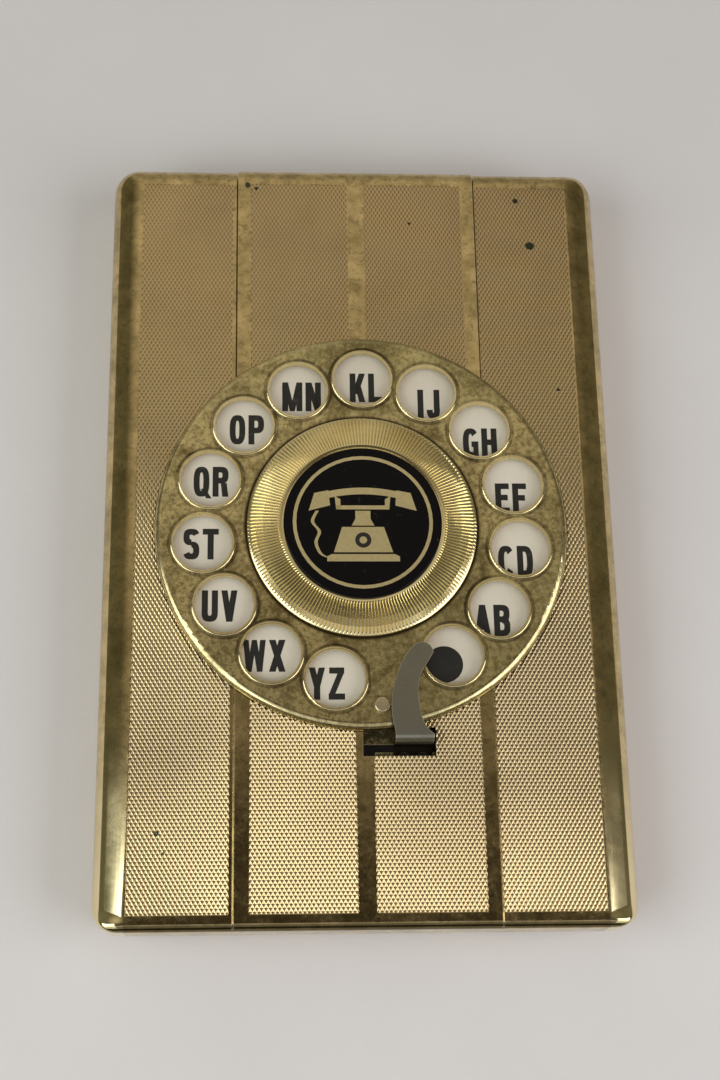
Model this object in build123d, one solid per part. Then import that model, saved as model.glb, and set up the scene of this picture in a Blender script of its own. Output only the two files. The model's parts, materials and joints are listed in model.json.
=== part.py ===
from build123d import *
import math
import os

# ---------------------------------------------------------------- driving dimensions, mm
# Case: X is its width, Y its length with the hinge at +Y, Z is up from the table.
case_width = 110.0
case_length = 171.5
case_corner = 5.5
sheet = 0.8
felt_thickness = 1.0
felt_margin = 5.0
panel_top = 17.8
plateau_rise = 0.6
plateau_width = 54.6
plateau_slope = 0.9
side_round = 5.8
front_round = 1.6
rear_round = 4.3
rear_wrap_deg = 30.0
skirt_bottom = 10.2
skirt_gap = 0.4
wall_top = 12.0
tray_fold_round = 1.5
relief_gap = 0.35
liner_thickness = 0.4
liner_gap = 0.5
note_thickness = 1.2
note_width = 78.0
note_length = 120.0
note_y = -8.0
card_corner = 2.0

# Hinge
rod_diameter = 2.6
rod_end_gap = 0.9
knuckle_clearance = 0.06
ear_wall = 1.6
ear_thickness = 1.2
lid_ear_inset = 8.0
bracket_inset = 5.6
bracket_foot_length = 7.0
bracket_rivet_diameter = 1.8
bracket_rivet_spread = 1.7
bracket_rivet_shift = 0.2
rivet_head_ratio = 1.6
bracket_post_reach = 10.45
bracket_post_width = 5.0
bracket_brace = 3.0
bracket_arm_deg = (100.0, 210.0)
bracket_notch_gap = 0.5
clip_thickness = 0.6
clip_diameter = 5.0
spring_wire = 0.8
spring_radius = 2.15
spring_turns = 5
spring_pitch = 1.0
spring_inset = 15.4
spring_leg_reach = 12.5
spring_knee = (5.5, 2.0)
spring_rest_gap = 0.1

# Lid plate that covers the mechanism
cover_bottom = 13.0
cover_thickness = 0.6
cover_margin = 1.0
cover_rear_reach = 6.95
post_diameter = 5.0
post_inset = 9.0
post_front = 23.75
post_rear_reach = 25.45
screw_diameter = 2.4
screw_head_diameter = 4.6
screw_head_height = 0.5
screw_end_gap = 1.2
screw_slot_width = 0.6
window_gap = 0.5

# Dial
dial_y = -2.2
dial_diameter = 87.8
dial_top = 20.3
dial_sheet = 0.9
dial_edge_round = 1.5
dial_skirt_bottom = 18.8
hole_pitch_radius = 33.8
hole_diameter = 12.3
hole_count = 14
hole_step_deg = 24.38
first_hole_deg = -57.2
rim_width = 0.75
rim_height = 0.4
pin_diameter = 3.2
pin_height = 1.2
pin_tail = 0.2
pin_edge_inset = 4.8
pin_edge_round = 0.3
rim_round = 0.36
pin_angle_deg = -85.0
hub_diameter = 48.8
hub_edge_height = 0.7
hub_crown_height = 2.3
hub_crown_width = 0.5
hub_shoulder = (2.2, 1.72)
hub_hollow = (2.6, 1.0)
hub_seat_gap = 0.15
emblem_diameter = 33.4
emblem_thickness = 0.8
emblem_proud = 0.3
emblem_edge_round = 0.35
cap_sheet = 0.6
card_diameter = 82.6
card_thickness = 0.3
card_hole_diameter = 22.0

# Spindle, bush and cam
spindle_diameter = 6.0
running_clearance = 0.05
bush_wall = 1.5
bush_flange_diameter = 14.0
bush_flange_thickness = 0.4
spindle_flange_diameter = 17.0
spindle_stub_diameter = 4.0
nut_diameter = 9.0
nut_thickness = 1.0
cam_thickness = 1.0
cam_bottom = 15.0
cam_diameter = 82.0
cam_start_radius = 9.0
cam_step = 2.0
cam_turn_deg = 345.0
cam_margin_deg = 5.0
follower_diameter = 3.0
follower_clearance = 0.15
clip_gap = 0.1
clip_groove_depth = 0.6
clip_ring_width = 1.2
clip_mouth = 2.8
washer_thickness = 0.3
washer_ring_width = 1.6
return_spring_width = 0.6
return_spring_sheet = 0.3
return_spring_radius = 13.5
return_spring_turns = 4
return_spring_lift = 0.5
spring_touch = 0.02
anchor_diameter = 2.0

# Selector
selector_bottom = 13.9
selector_thickness = 0.8
selector_arm = 8.0
selector_rail = 5.0
selector_rail_margin = 0.6
selector_tail_x = -22.0
selector_reach = 48.0
hook_front = 40.75
hook_width = 5.0
hook_foot_width = 1.2
hook_sheet = 0.8
hook_inset = 6.0
hook_flange = 5.0
hook_foot_lap = 2.5
follower_shank_ratio = 0.6
hook_foot_top = 4.6
stud_diameter = 3.0
stud_head_diameter = 4.4
stud_head_height = 0.35
slot_clearance = 0.3

# Finger stop and latch
stop_sheet = 0.9
stop_height = 1.6
stop_bend_gap = 1.4
stop_bend_round = 1.5
stop_foot_length = 4.4
stop_rivet_diameter = 1.4
stop_rivet_head = 2.6
stop_rivet_head_height = 0.4
stop_rivet_inset = (2.0, 2.5)
stop_foot_x = (5.9, 13.7)
# The finger outline: X, and Y measured from the bend.
stop_root = (5.7, 1.4)
stop_left_edge = ((5.3, 3.5), (5.2, 6.8), (5.6, 9.7), (6.7, 13.0), (8.2, 16.2), (10.05, 18.45))
stop_tip = (12.3, 19.1)
stop_tip_right = (14.0, 16.95)
stop_right_edge = ((12.9, 15.1), (11.65, 13.0), (10.85, 10.6), (10.65, 8.2), (10.9, 5.5), (11.5, 2.9),
                   (12.6, 0.9))
shutter_x = (-2.5, 13.7)
shutter_reach = (-0.9, 3.1)
latch_travel = 5.0
latch_bottom = 15.2
latch_thickness = 0.8
latch_x = (2.0, 25.0)
latch_front_gap = 3.95
latch_rear_gap = 2.5
latch_stud_x = 16.0
latch_stud_inset = (6.0, 10.5)
latch_stud_head_diameter = 5.2
latch_stud_head_height = 0.5
stud_play = 0.1
latch_tab_length = 2.5
latch_tab_width = 3.0
latch_strip_x = (4.0, 8.0)
latch_tip_length = 3.5
latch_tip_z = 7.4
latch_tip_thickness = 1.0
keeper_sheet = 0.8
keeper_gap = 0.3
keeper_x = (9.2, 15.0)
keeper_depth = 2.6
slot_x = (-0.5, 14.4)
slot_reach = (-5.1, 0.8)
latch_spring_wire = 0.4
latch_spring_radius = 1.0
latch_spring_turns = 9
latch_spring_front = 19.75
latch_spring_leg = 1.2
latch_spring_lap = 0.1
latch_spring_room = 15.0
latch_post_diameter = 2.2
latch_post_gap = 0.5
small_rivet_diameter = 1.2
small_rivet_head = 2.0
small_rivet_head_height = 0.3
hook_rivet_inset = 2.6
hook_rivet_spread = 1.3
keeper_rivet_inset = 1.4
keeper_rivet_pitch = 2.4
keeper_foot_length = 3.0

# Leaves
leaf_names = ("ab", "cd", "ef", "gh", "ij", "kl", "mn", "op", "qr", "st", "uv", "wx", "yz")
leaf_sheet = 0.3
leaf_gap = 0.3
leaf_top_gap = 0.55
leaf_left_inset = 5.0
leaf_right_inset = 6.5
leaf_front_inset = 10.25
leaf_tab_gap = 0.2
leaf_tab_length = 4.6
leaf_shoulder_reach = 16.45
leaf_neck_inset = 16.4
leaf_rear_reach = 5.9
leaf_arm_reach = 5.3
leaf_arm_sheet = 0.5
leaf_arm_drop = 4.4
leaf_arm_width = 1.5
leaf_arm_pitch = 2.0
leaf_arm_inset = 18.0
leaf_arm_lap = 0.5
leaf_arm_deg = (235.0, 178.0)
leaf_notch_depth = 3.0
leaf_notch_lead = 3.5
leaf_notch_spare = 1.5
leaf_knuckle_wall = 0.6

# ---------------------------------------------------------------- derived places
half_width = case_width / 2
front_y = -case_length / 2
rear_y = case_length / 2
plateau_top = panel_top + plateau_rise
axis_y = rear_y - rear_round
axis_z = panel_top - rear_round
panel_under = panel_top - sheet
plateau_under = plateau_top - sheet
tray_inset = sheet + skirt_gap
tray_bottom = felt_thickness
floor_top = tray_bottom + sheet
relief_radius = rear_round + plateau_rise + relief_gap
cover_top = cover_bottom + cover_thickness
rod_radius = rod_diameter / 2
knuckle_bore = rod_radius + knuckle_clearance
ear_radius = knuckle_bore + ear_wall
tray_wall_inside = half_width - tray_inset - sheet
rod_half = tray_wall_inside - rod_end_gap
dial_radius = dial_diameter / 2
dial_under = dial_top - dial_sheet
spindle_radius = spindle_diameter / 2
bush_bore = spindle_radius + running_clearance
bush_radius = bush_bore + bush_wall
cam_top = cam_bottom + cam_thickness
cam_radius = cam_diameter / 2
cam_gain = cam_step / hole_step_deg
cam_travel = cam_gain * cam_turn_deg
follower_radius = follower_diameter / 2
follower_y = dial_y + cam_start_radius
selector_top = selector_bottom + selector_thickness
stud_radius = stud_diameter / 2
stop_under = dial_top + stop_height
latch_top = latch_bottom + latch_thickness
leaf_pitch = leaf_sheet + leaf_gap
leaf_stack_top = cover_bottom - leaf_top_gap
emblem_top = dial_top + hub_crown_height + emblem_proud
lid_ear_x = half_width - lid_ear_inset
bracket_ear_x = half_width - bracket_inset
bracket_post_y = axis_y - bracket_post_reach
spring_x = half_width - spring_inset
cover_rear_y = axis_y - cover_rear_reach
post_x = half_width - post_inset
post_y = (front_y + post_front, axis_y - post_rear_reach)
pin_radius = dial_radius - pin_edge_inset
dial_front = dial_y - dial_radius
# The selector's rail runs midway between the cam and the tray's wall.
selector_rail_x = (cam_radius + tray_wall_inside) / 2
hook_x = half_width - hook_inset
hook_home_y = front_y + hook_front
stop_bend_y = dial_front - stop_bend_gap
slot_y = (dial_front + slot_reach[0], dial_front + slot_reach[1])
latch_y = (front_y + latch_front_gap, stop_bend_y - latch_rear_gap)
latch_stud_y = (latch_y[0] + latch_stud_inset[0], latch_y[1] - latch_stud_inset[1])
latch_spring_y = front_y + latch_spring_front
latch_post_x = latch_x[1] + latch_spring_room
leaf_left = leaf_left_inset - half_width
leaf_right = half_width - leaf_right_inset
leaf_front = front_y + leaf_front_inset
leaf_shoulder_y = axis_y - leaf_shoulder_reach
leaf_neck_half = half_width - leaf_neck_inset
leaf_arm_start = half_width - leaf_arm_inset


# ---------------------------------------------------------------- helpers
def block(x_range, y_range, z_range):
    size = [high - low for low, high in (x_range, y_range, z_range)]
    middle = [(high + low) / 2 for low, high in (x_range, y_range, z_range)]
    return Pos(*middle) * Box(*size)


def post(x, y, z_low, z_high, radius):
    return Pos(x, y, (z_low + z_high) / 2) * Cylinder(radius, z_high - z_low)


def rod_along_x(x_low, x_high, y, z, radius):
    return Pos((x_low + x_high) / 2, y, z) * Rot(0, 90, 0) * Cylinder(radius, x_high - x_low)


def rounded_plate(width, length, corner, z_low, z_high, y=0.0):
    outline = RectangleRounded(width, length, corner)
    return Pos(0, y, z_low) * extrude(outline, amount=z_high - z_low)


def slot_along(x_low, x_high, y_low, y_high, z_low, z_high):
    """Round-ended slot whose long side is along X or Y."""
    width = x_high - x_low
    length = y_high - y_low
    middle = Pos((x_low + x_high) / 2, (y_low + y_high) / 2, z_low)
    if width > length:
        outline = SlotOverall(width, length)
    else:
        outline = SlotOverall(length, width, rotation=90)
    return middle * extrude(outline, amount=z_high - z_low)


def polar(centre, radius, angle_deg):
    angle = math.radians(angle_deg)
    return (centre[0] + radius * math.cos(angle), centre[1] + radius * math.sin(angle))


def arc(centre, radius, start_deg, end_deg):
    middle = (start_deg + end_deg) / 2
    return ThreePointArc(*[polar(centre, radius, angle) for angle in (start_deg, middle, end_deg)])


def closed_face(pieces):
    """Face bounded by arcs, splines and straight runs in order; straight gaps are closed."""
    edges = []
    for index, piece in enumerate(pieces):
        following = pieces[(index + 1) % len(pieces)]
        edges.append(piece)
        end = piece @ 1
        start = following @ 0
        if (end - start).length > 1e-6:
            edges.append(Line(end, start))
    return make_face(edges)


def along_x(face, x_low, x_high):
    """Extrude a face drawn with (Y, Z) coordinates from x_low to x_high."""
    return Pos(x_low, 0, 0) * extrude(Plane.YZ * face, amount=x_high - x_low)


def along_y(face, y_low, y_high):
    """Extrude a face drawn with (X, Z) coordinates from y_low to y_high."""
    return Pos(0, y_high, 0) * extrude(Plane.XZ * face, amount=y_high - y_low)


def ring(x, y, z_low, z_high, outer, inner):
    return post(x, y, z_low, z_high, outer) - post(x, y, z_low - 1, z_high + 1, inner)


def together(solids):
    return Compound(children=list(solids))


def save(name, shape):
    export_step(shape, os.path.join("parts", name + ".step"))


# ---------------------------------------------------------------- case
def lid_side_profile(top, wall, bottom):
    """Lid seen from its side, in (Y, Z): front round, flat top, rolled rear edge."""
    front = front_y + wall
    front_centre = (front_y + front_round, top - front_round)
    rear_centre = (axis_y, top - rear_round)
    hinge = (axis_y, axis_z)
    front_radius = front_round - wall
    rear_radius = rear_round - wall
    roll = arc(rear_centre, rear_radius, 90, 0)
    wrap = arc(hinge, rear_radius, 0, -rear_wrap_deg)
    pieces = [Line((front, bottom), (front, top - front_round))]
    pieces.append(arc(front_centre, front_radius, 180, 90))
    pieces += [roll, wrap]
    if wall > 0:
        clear = polar(hinge, rear_round + 1, -rear_wrap_deg)
        pieces.append(Line(clear, (clear[0], bottom)))
    else:
        pieces.append(Line(wrap @ 1, (axis_y - 2, bottom)))
    return closed_face(pieces)


def lid_panel_profile(wall, bottom):
    """Outer lid panels seen from the front, in (X, Z): quarter rounds on both long edges."""
    radius = side_round - wall
    centre_x = half_width - side_round
    centre_z = panel_top - side_round
    right = arc((centre_x, centre_z), radius, 0, 90)
    left = arc((-centre_x, centre_z), radius, 90, 180)
    low_left = Line((wall - half_width, bottom), (half_width - wall, bottom))
    return closed_face([low_left, right, left])


def plateau_profile(wall, bottom):
    top = plateau_top - wall
    half_top = plateau_width / 2 - plateau_slope - wall / 2
    half_foot = plateau_width / 2 - wall / 2
    points = [(-half_foot, bottom), (half_foot, bottom), (half_foot, panel_top - wall)]
    points += [(half_top, top), (-half_top, top), (-half_foot, panel_top - wall)]
    return make_face(Polyline(*points, close=True))


def lid_volume(wall, bottom):
    outline = rounded_plate(case_width - 2 * wall, case_length - 2 * wall, case_corner - wall,
                            bottom, plateau_top + 1)
    # The rear end of an inner volume is open below the rolled edge.
    if wall > 0:
        outline += block((wall - half_width, half_width - wall),
                         (axis_y, rear_y + 2), (bottom, axis_z))
    reach = half_width + 1
    panels = along_x(lid_side_profile(panel_top, wall, bottom), -reach, reach)
    panels &= along_y(lid_panel_profile(wall, bottom), front_y - 1, rear_y + 3)
    plateau = along_x(lid_side_profile(plateau_top, wall, bottom), -reach, reach)
    plateau &= along_y(plateau_profile(wall, bottom), front_y - 1, rear_y + 3)
    return (panels + plateau) & outline


def make_lid_shell():
    shell = lid_volume(0, skirt_bottom) - lid_volume(sheet, skirt_bottom - 4)
    shell -= post(0, dial_y, panel_under - 1, plateau_top + 1, bush_radius + skirt_gap / 4)
    shell -= block(slot_x, slot_y, (panel_under - 1, plateau_top + 1))
    return shell


def make_base_tray():
    width = case_width - 2 * tray_inset
    length = case_length - 2 * tray_inset
    corner = case_corner - tray_inset
    tray = rounded_plate(width, length, corner, tray_bottom, wall_top)
    tray = fillet(tray.faces().sort_by(Axis.Z)[0].edges(), tray_fold_round)
    inner = rounded_plate(width - 2 * sheet, length - 2 * sheet, corner - sheet, floor_top, wall_top + 1)
    inner = fillet(inner.faces().sort_by(Axis.Z)[0].edges(), tray_fold_round - sheet)
    relief = rod_along_x(-half_width, half_width, axis_y, axis_z, relief_radius)
    relief += block((-half_width, half_width), (axis_y - relief_radius, rear_y + 1),
                    (axis_z, wall_top + 5))
    return tray - inner - relief


def make_felt():
    return rounded_plate(case_width - 2 * tray_inset - 2 * felt_margin,
                         case_length - 2 * tray_inset - 2 * felt_margin,
                         case_corner, 0, felt_thickness)


def make_liner():
    liner = rounded_plate(case_width - 2 * tray_inset - 2 * sheet - 2 * liner_gap - 2,
                          case_length - 2 * tray_inset - 2 * sheet - 2 * liner_gap - 2,
                          card_corner, floor_top, floor_top + liner_thickness)
    for side in (-1, 1):
        liner -= bracket_foot_zone(side, skirt_gap)
    return liner - keeper_foot_zone(skirt_gap)


def make_note_card():
    low = floor_top + liner_thickness
    return rounded_plate(note_width, note_length, card_corner, low, low + note_thickness, note_y)


# ---------------------------------------------------------------- hinge
def bracket_x(side):
    inner = bracket_ear_x
    outer = bracket_ear_x + ear_thickness
    return (inner, outer) if side > 0 else (-outer, -inner)


def bracket_foot_zone(side, margin):
    low, high = bracket_x(side)
    if side > 0:
        low -= bracket_foot_length
    else:
        high += bracket_foot_length
    y_range = (bracket_post_y - bracket_post_width / 2 - margin,
               bracket_post_y + bracket_post_width / 2 + margin)
    return block((low - margin, high + margin), y_range, (floor_top - 1, floor_top + 3))


def bracket_rivet_places(side):
    middle = side * (bracket_ear_x - bracket_foot_length / 2 - bracket_rivet_shift)
    return [(middle + shift, bracket_post_y) for shift in (-bracket_rivet_spread, bracket_rivet_spread)]


def make_bracket(side):
    low, high = bracket_x(side)
    post_low = bracket_post_y - bracket_post_width / 2
    post_high = bracket_post_y + bracket_post_width / 2
    arm_top, arm_low = [polar((axis_y, axis_z), ear_radius, angle) for angle in bracket_arm_deg]
    corners = [(post_low, floor_top), (post_high, floor_top),
               (post_high, axis_z - ear_wall - bracket_brace), arm_low, arm_top,
               (post_low + 1, axis_z - ear_wall)]
    ear = along_x(make_face(Polyline(*corners, close=True)), low, high)
    ear += rod_along_x(low, high, axis_y, axis_z, ear_radius)
    ear -= rod_along_x(low - 1, high + 1, axis_y, axis_z, knuckle_bore)
    foot_x = (low - bracket_foot_length, low) if side > 0 else (high, high + bracket_foot_length)
    ear += block(foot_x, (post_low, post_high), (floor_top, floor_top + ear_thickness))
    for x, y in bracket_rivet_places(side):
        ear -= post(x, y, floor_top - 1, floor_top + 3, bracket_rivet_diameter / 2)
    return ear


def make_rivet(x, y, z_low, z_high, radius):
    body = post(x, y, z_low, z_high, radius)
    return body + post(x, y, z_high, z_high + screw_head_height, radius * rivet_head_ratio)


def make_bracket_rivets():
    places = bracket_rivet_places(-1) + bracket_rivet_places(1)
    high = floor_top + ear_thickness
    radius = bracket_rivet_diameter / 2
    return together([make_rivet(x, y, floor_top, high, radius) for x, y in places])


def make_rod():
    return rod_along_x(-rod_half, rod_half, axis_y, axis_z, rod_radius)


def make_rod_clips():
    clips = []
    outer = bracket_ear_x + ear_thickness + skirt_gap / 2
    for side in (-1, 1):
        low = outer if side > 0 else -outer - clip_thickness
        clip = rod_along_x(low, low + clip_thickness, axis_y, axis_z, clip_diameter / 2)
        clips.append(clip - rod_along_x(low - 1, low + 2, axis_y, axis_z, rod_radius))
    return together(clips)


def make_popup_spring(side):
    """Coil round the hinge rod: one leg on the tray floor, the other under the cover plate."""
    height = spring_turns * spring_pitch
    coil_path = Helix(spring_pitch, height, spring_radius, center=(0, 0, 0), direction=(0, 0, 1))
    start = coil_path @ 0
    section = Plane(origin=start, z_dir=coil_path % 0) * Circle(spring_wire / 2)
    coil = sweep(section, path=coil_path)
    # Local Z becomes X, and the helix starts below the rod, where its tangent points forward.
    placed = Pos(spring_x, axis_y, axis_z) * Rot(0, 90, 0) * coil
    wire = spring_wire / 2
    low_z = axis_z - spring_radius
    floor_rest = floor_top + liner_thickness + wire + spring_rest_gap
    lid_rest = cover_bottom - wire - spring_rest_gap
    far_x = spring_x + height
    floor_run = [(spring_x, axis_y, low_z), (spring_x, axis_y - spring_knee[0], axis_z - spring_knee[1]),
                 (spring_x, axis_y - spring_leg_reach, floor_rest)]
    lid_run = [(far_x, axis_y, low_z), (far_x, axis_y - spring_leg_reach, lid_rest)]
    legs = []
    for run in (floor_run, lid_run):
        for start, end in zip(run, run[1:]):
            legs.append(straight_wire(start, end, wire))
            legs.append(Pos(*start) * Sphere(wire))
    spring = placed
    for leg in legs:
        spring += leg
    return spring if side > 0 else mirror(spring, about=Plane.YZ)


def straight_wire(start, end, radius):
    run = Line(start, end)
    return sweep(Plane(origin=start, z_dir=run % 0) * Circle(radius), path=run)


# ---------------------------------------------------------------- lid mechanism
def make_cover_plate():
    half = half_width - sheet - cover_margin
    low_y = front_y + sheet + cover_margin
    plate = block((-half, half), (low_y, cover_rear_y), (cover_bottom, cover_top))
    plate &= rounded_plate(2 * half, -2 * low_y, case_corner, cover_bottom, cover_top)
    for side in (-1, 1):
        low, high = sorted((side * lid_ear_x, side * (lid_ear_x - ear_thickness)))
        points = [(cover_rear_y - 4, cover_bottom), (axis_y, axis_z - ear_radius),
                  (axis_y, axis_z + ear_radius), (cover_rear_y - 4, cover_top)]
        plate += along_x(make_face(Polyline(*points, close=True)), low, high)
        plate += rod_along_x(low, high, axis_y, axis_z, ear_radius)
        plate -= rod_along_x(low - 1, high + 1, axis_y, axis_z, knuckle_bore)
        # Room for the hinge bracket, which stays with the tray.
        notch_x = sorted((side * (bracket_ear_x - bracket_notch_gap), side * half_width))
        notch_y = (bracket_post_y - bracket_post_width, cover_rear_y + 1)
        plate -= block(notch_x, notch_y, (cover_bottom - 1, cover_top + 1))
    # Windows for the hook, the latch strip and the spindle.
    hook_low = hook_home_y - hook_width / 2 - slot_clearance
    hook_high = hook_home_y + cam_travel + hook_width / 2 + slot_clearance
    plate -= block((hook_x - slot_clearance, hook_x + hook_sheet + slot_clearance),
                   (hook_low, hook_high), (cover_bottom - 1, cover_top + 1))
    window_x = (latch_strip_x[0] - latch_travel - window_gap,
                latch_strip_x[1] + latch_tip_length + window_gap)
    plate -= block(window_x, (low_y - 1, latch_y[0] + 2 * window_gap), (cover_bottom - 1, cover_top + 1))
    plate -= post(0, dial_y, cover_bottom - 1, cover_top + 1, spindle_radius + skirt_gap)
    for x, y in post_places():
        plate -= post(x, y, cover_bottom - 1, cover_top + 1, screw_diameter / 2 + clip_gap)
    return plate


def post_places():
    return [(side * post_x, y) for y in post_y for side in (-1, 1)]


def make_posts():
    posts = []
    for x, y in post_places():
        body = post(x, y, cover_top, panel_under, post_diameter / 2)
        posts.append(body - post(x, y, cover_top - 1, panel_under - 1, screw_diameter / 2))
    return together(posts)


def make_screws():
    screws = []
    for x, y in post_places():
        shank = post(x, y, cover_bottom, panel_under - screw_end_gap, screw_diameter / 2)
        head = post(x, y, cover_bottom - screw_head_height / 2, cover_bottom, screw_head_diameter / 2)
        slot = block((x - 3, x + 3), (y - screw_slot_width / 2, y + screw_slot_width / 2),
                     (cover_bottom - 1, cover_bottom - screw_head_height / 4))
        screws.append(shank + head - slot)
    return together(screws)


def make_bush():
    flange_low = plateau_under - bush_flange_thickness
    body = post(0, dial_y, flange_low, plateau_top + clip_gap, bush_radius)
    body += post(0, dial_y, flange_low, plateau_under, bush_flange_diameter / 2)
    return body - post(0, dial_y, flange_low - 1, plateau_top + 1, bush_bore)


def make_letter_card():
    low = plateau_top
    return ring(0, dial_y, low, low + card_thickness, card_diameter / 2, card_hole_diameter / 2)


def spiral_edge(start_radius, end_radius, start_deg, end_deg, side_offset, steps):
    """Archimedean spiral about the dial's centre, moved sideways by side_offset."""
    points = []
    for index in range(steps + 1):
        share = index / steps
        angle = start_deg + share * (end_deg - start_deg)
        radius = start_radius + share * (end_radius - start_radius)
        gain = (end_radius - start_radius) / math.radians(end_deg - start_deg)
        tangent = math.atan2(radius, gain)
        normal = math.radians(angle) + tangent - math.pi / 2
        x, y = polar((0, dial_y), radius, angle)
        points.append((x + side_offset * math.cos(normal), y + side_offset * math.sin(normal)))
    return Spline(*points)


def spiral_band(start_radius, end_radius, start_deg, end_deg, half, z_range, round_ends):
    steps = max(12, int(abs(end_deg - start_deg) / 18))
    outer = spiral_edge(start_radius, end_radius, start_deg, end_deg, half, steps)
    inner = spiral_edge(end_radius, start_radius, end_deg, start_deg, -half, steps)
    face = closed_face([outer, inner])
    band = Pos(0, 0, z_range[0]) * extrude(face, amount=z_range[1] - z_range[0])
    if round_ends:
        for radius, angle in ((start_radius, start_deg), (end_radius, end_deg)):
            x, y = polar((0, dial_y), radius, angle)
            band += post(x, y, z_range[0], z_range[1], half)
    return band


def make_scroll_cam():
    """Disc with a spiral groove: turning the dial clockwise drives the follower outwards."""
    cam = post(0, dial_y, cam_bottom, cam_top, cam_radius)
    margin = cam_gain * cam_margin_deg
    start = 90 - cam_margin_deg
    end = 90 + cam_turn_deg + cam_margin_deg
    end_radius = cam_start_radius + cam_travel + margin
    cam -= spiral_band(cam_start_radius - margin, end_radius, start, end,
                       follower_radius + follower_clearance, (cam_bottom - 1, cam_top + 1), True)
    cam -= post(0, dial_y, cam_bottom - 1, cam_top + 1, spindle_radius)
    return cam


def make_spindle():
    low = cover_bottom + clip_gap
    stem = post(0, dial_y, low, dial_under, spindle_radius)
    stem += post(0, dial_y, plateau_top + card_thickness, dial_under, spindle_flange_diameter / 2)
    stem += post(0, dial_y, dial_under, dial_top + nut_thickness, spindle_stub_diameter / 2)
    groove_low = cam_bottom - clip_gap - clip_thickness
    groove = ring(0, dial_y, groove_low, groove_low + clip_thickness, spindle_radius + 1,
                  spindle_radius - clip_groove_depth)
    return stem - groove


def make_spindle_clip():
    low = cam_bottom - clip_gap - clip_thickness
    outer = spindle_radius + clip_ring_width
    clip = ring(0, dial_y, low, low + clip_thickness, outer, spindle_radius - clip_groove_depth)
    mouth = (-clip_mouth / 2, clip_mouth / 2)
    return clip - block(mouth, (dial_y - outer - 1, dial_y - 1), (low - 1, low + 2))


def make_cam_washer():
    outer = spindle_radius + washer_ring_width
    return ring(0, dial_y, cam_top, cam_top + washer_thickness, outer, spindle_radius)


def make_return_spring():
    low = cam_top + return_spring_lift
    turn = 360 * return_spring_turns
    start = spindle_radius + return_spring_sheet / 2 + spring_touch
    return spiral_band(start, return_spring_radius, 0, turn, return_spring_sheet / 2,
                       (low, low + return_spring_width), False)


def make_spring_anchor():
    low = cam_top + return_spring_lift - clip_gap
    x = return_spring_radius + return_spring_sheet / 2 + anchor_diameter / 2
    return post(x, dial_y, low, plateau_under, anchor_diameter / 2)


# ---------------------------------------------------------------- dial
def hole_places():
    places = []
    for index in range(hole_count):
        places.append(polar((0, dial_y), hole_pitch_radius, first_hole_deg + index * hole_step_deg))
    return places


def turned(face_pieces):
    """Revolve a closed (radius, Z) outline about the dial's axis."""
    face = Plane.XZ * closed_face(face_pieces)
    return Pos(0, dial_y, 0) * revolve(face, Axis.Z, 360)


def make_dial_plate():
    flat_radius = dial_radius - dial_edge_round
    edge_centre = (flat_radius, dial_top - dial_edge_round)
    inner_round = dial_edge_round - dial_sheet
    outer_edge = arc(edge_centre, dial_edge_round, 90, 0)
    inner_edge = arc(edge_centre, inner_round, 0, 90)
    low = Line((dial_radius, dial_skirt_bottom), (dial_radius - dial_sheet, dial_skirt_bottom))
    bore = Line((spindle_stub_diameter / 2, dial_under), (spindle_stub_diameter / 2, dial_top))
    plate = turned([outer_edge, low, inner_edge, bore])
    rim_radius = hole_diameter / 2 + rim_width
    for x, y in hole_places():
        rim = post(x, y, dial_under, dial_top + rim_height, rim_radius)
        plate += fillet(rim.faces().sort_by(Axis.Z)[-1].edges(), rim_round)
    for x, y in hole_places():
        hole = post(x, y, dial_under - 1, dial_top + 2, hole_diameter / 2)
        plate -= hole
    pin_x, pin_y = pin_place()
    return plate - post(pin_x, pin_y, dial_under - 1, dial_top + 1, pin_diameter / 2)


def pin_place():
    return polar((0, dial_y), pin_radius, pin_angle_deg)


def make_stop_pin():
    x, y = pin_place()
    pin = post(x, y, dial_under - pin_tail, dial_top + pin_height, pin_diameter / 2)
    return fillet(pin.faces().sort_by(Axis.Z)[-1].edges(), pin_edge_round)


def make_dial_nut():
    nut = Pos(0, dial_y, dial_top) * extrude(RegularPolygon(nut_diameter / 2, 6), amount=nut_thickness)
    return nut - post(0, dial_y, dial_top - 1, dial_top + 3, spindle_stub_diameter / 2)


def make_hub_cap():
    """Domed ring, reeded on top, with a flat seat for the emblem disc."""
    outer = hub_diameter / 2
    seat = emblem_diameter / 2 + hub_seat_gap
    crown = seat + hub_crown_width
    low = dial_top
    edge_top = low + hub_edge_height
    crown_top = low + hub_crown_height
    seat_top = emblem_top - emblem_thickness
    shoulder = (outer - hub_shoulder[0], low + hub_shoulder[1])
    hollow = (outer - hub_hollow[0], low + hub_hollow[1])
    dome = ThreePointArc((outer, edge_top), shoulder, (crown, crown_top))
    inner_dome = ThreePointArc((crown, crown_top - cap_sheet - clip_gap), hollow,
                               (outer - cap_sheet, low + cap_sheet / 2))
    rim_low = Line((outer, low), (outer - cap_sheet, low))
    under = Line((seat - cap_sheet, seat_top - cap_sheet), (0, seat_top - cap_sheet))
    over = Line((0, seat_top), (seat, seat_top))
    step = Line((seat, crown_top), (crown, crown_top))
    pieces = [over, step, reversed_arc(dome), rim_low, reversed_arc(inner_dome), under]
    return turned(pieces)


def reversed_arc(edge):
    return ThreePointArc(*[edge @ share for share in (1, 1 / 2, 0)])


def make_emblem_disc():
    radius = emblem_diameter / 2
    disc = post(0, dial_y, emblem_top - emblem_thickness, emblem_top, radius)
    return fillet(disc.faces().sort_by(Axis.Z)[-1].edges(), emblem_edge_round)


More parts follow.
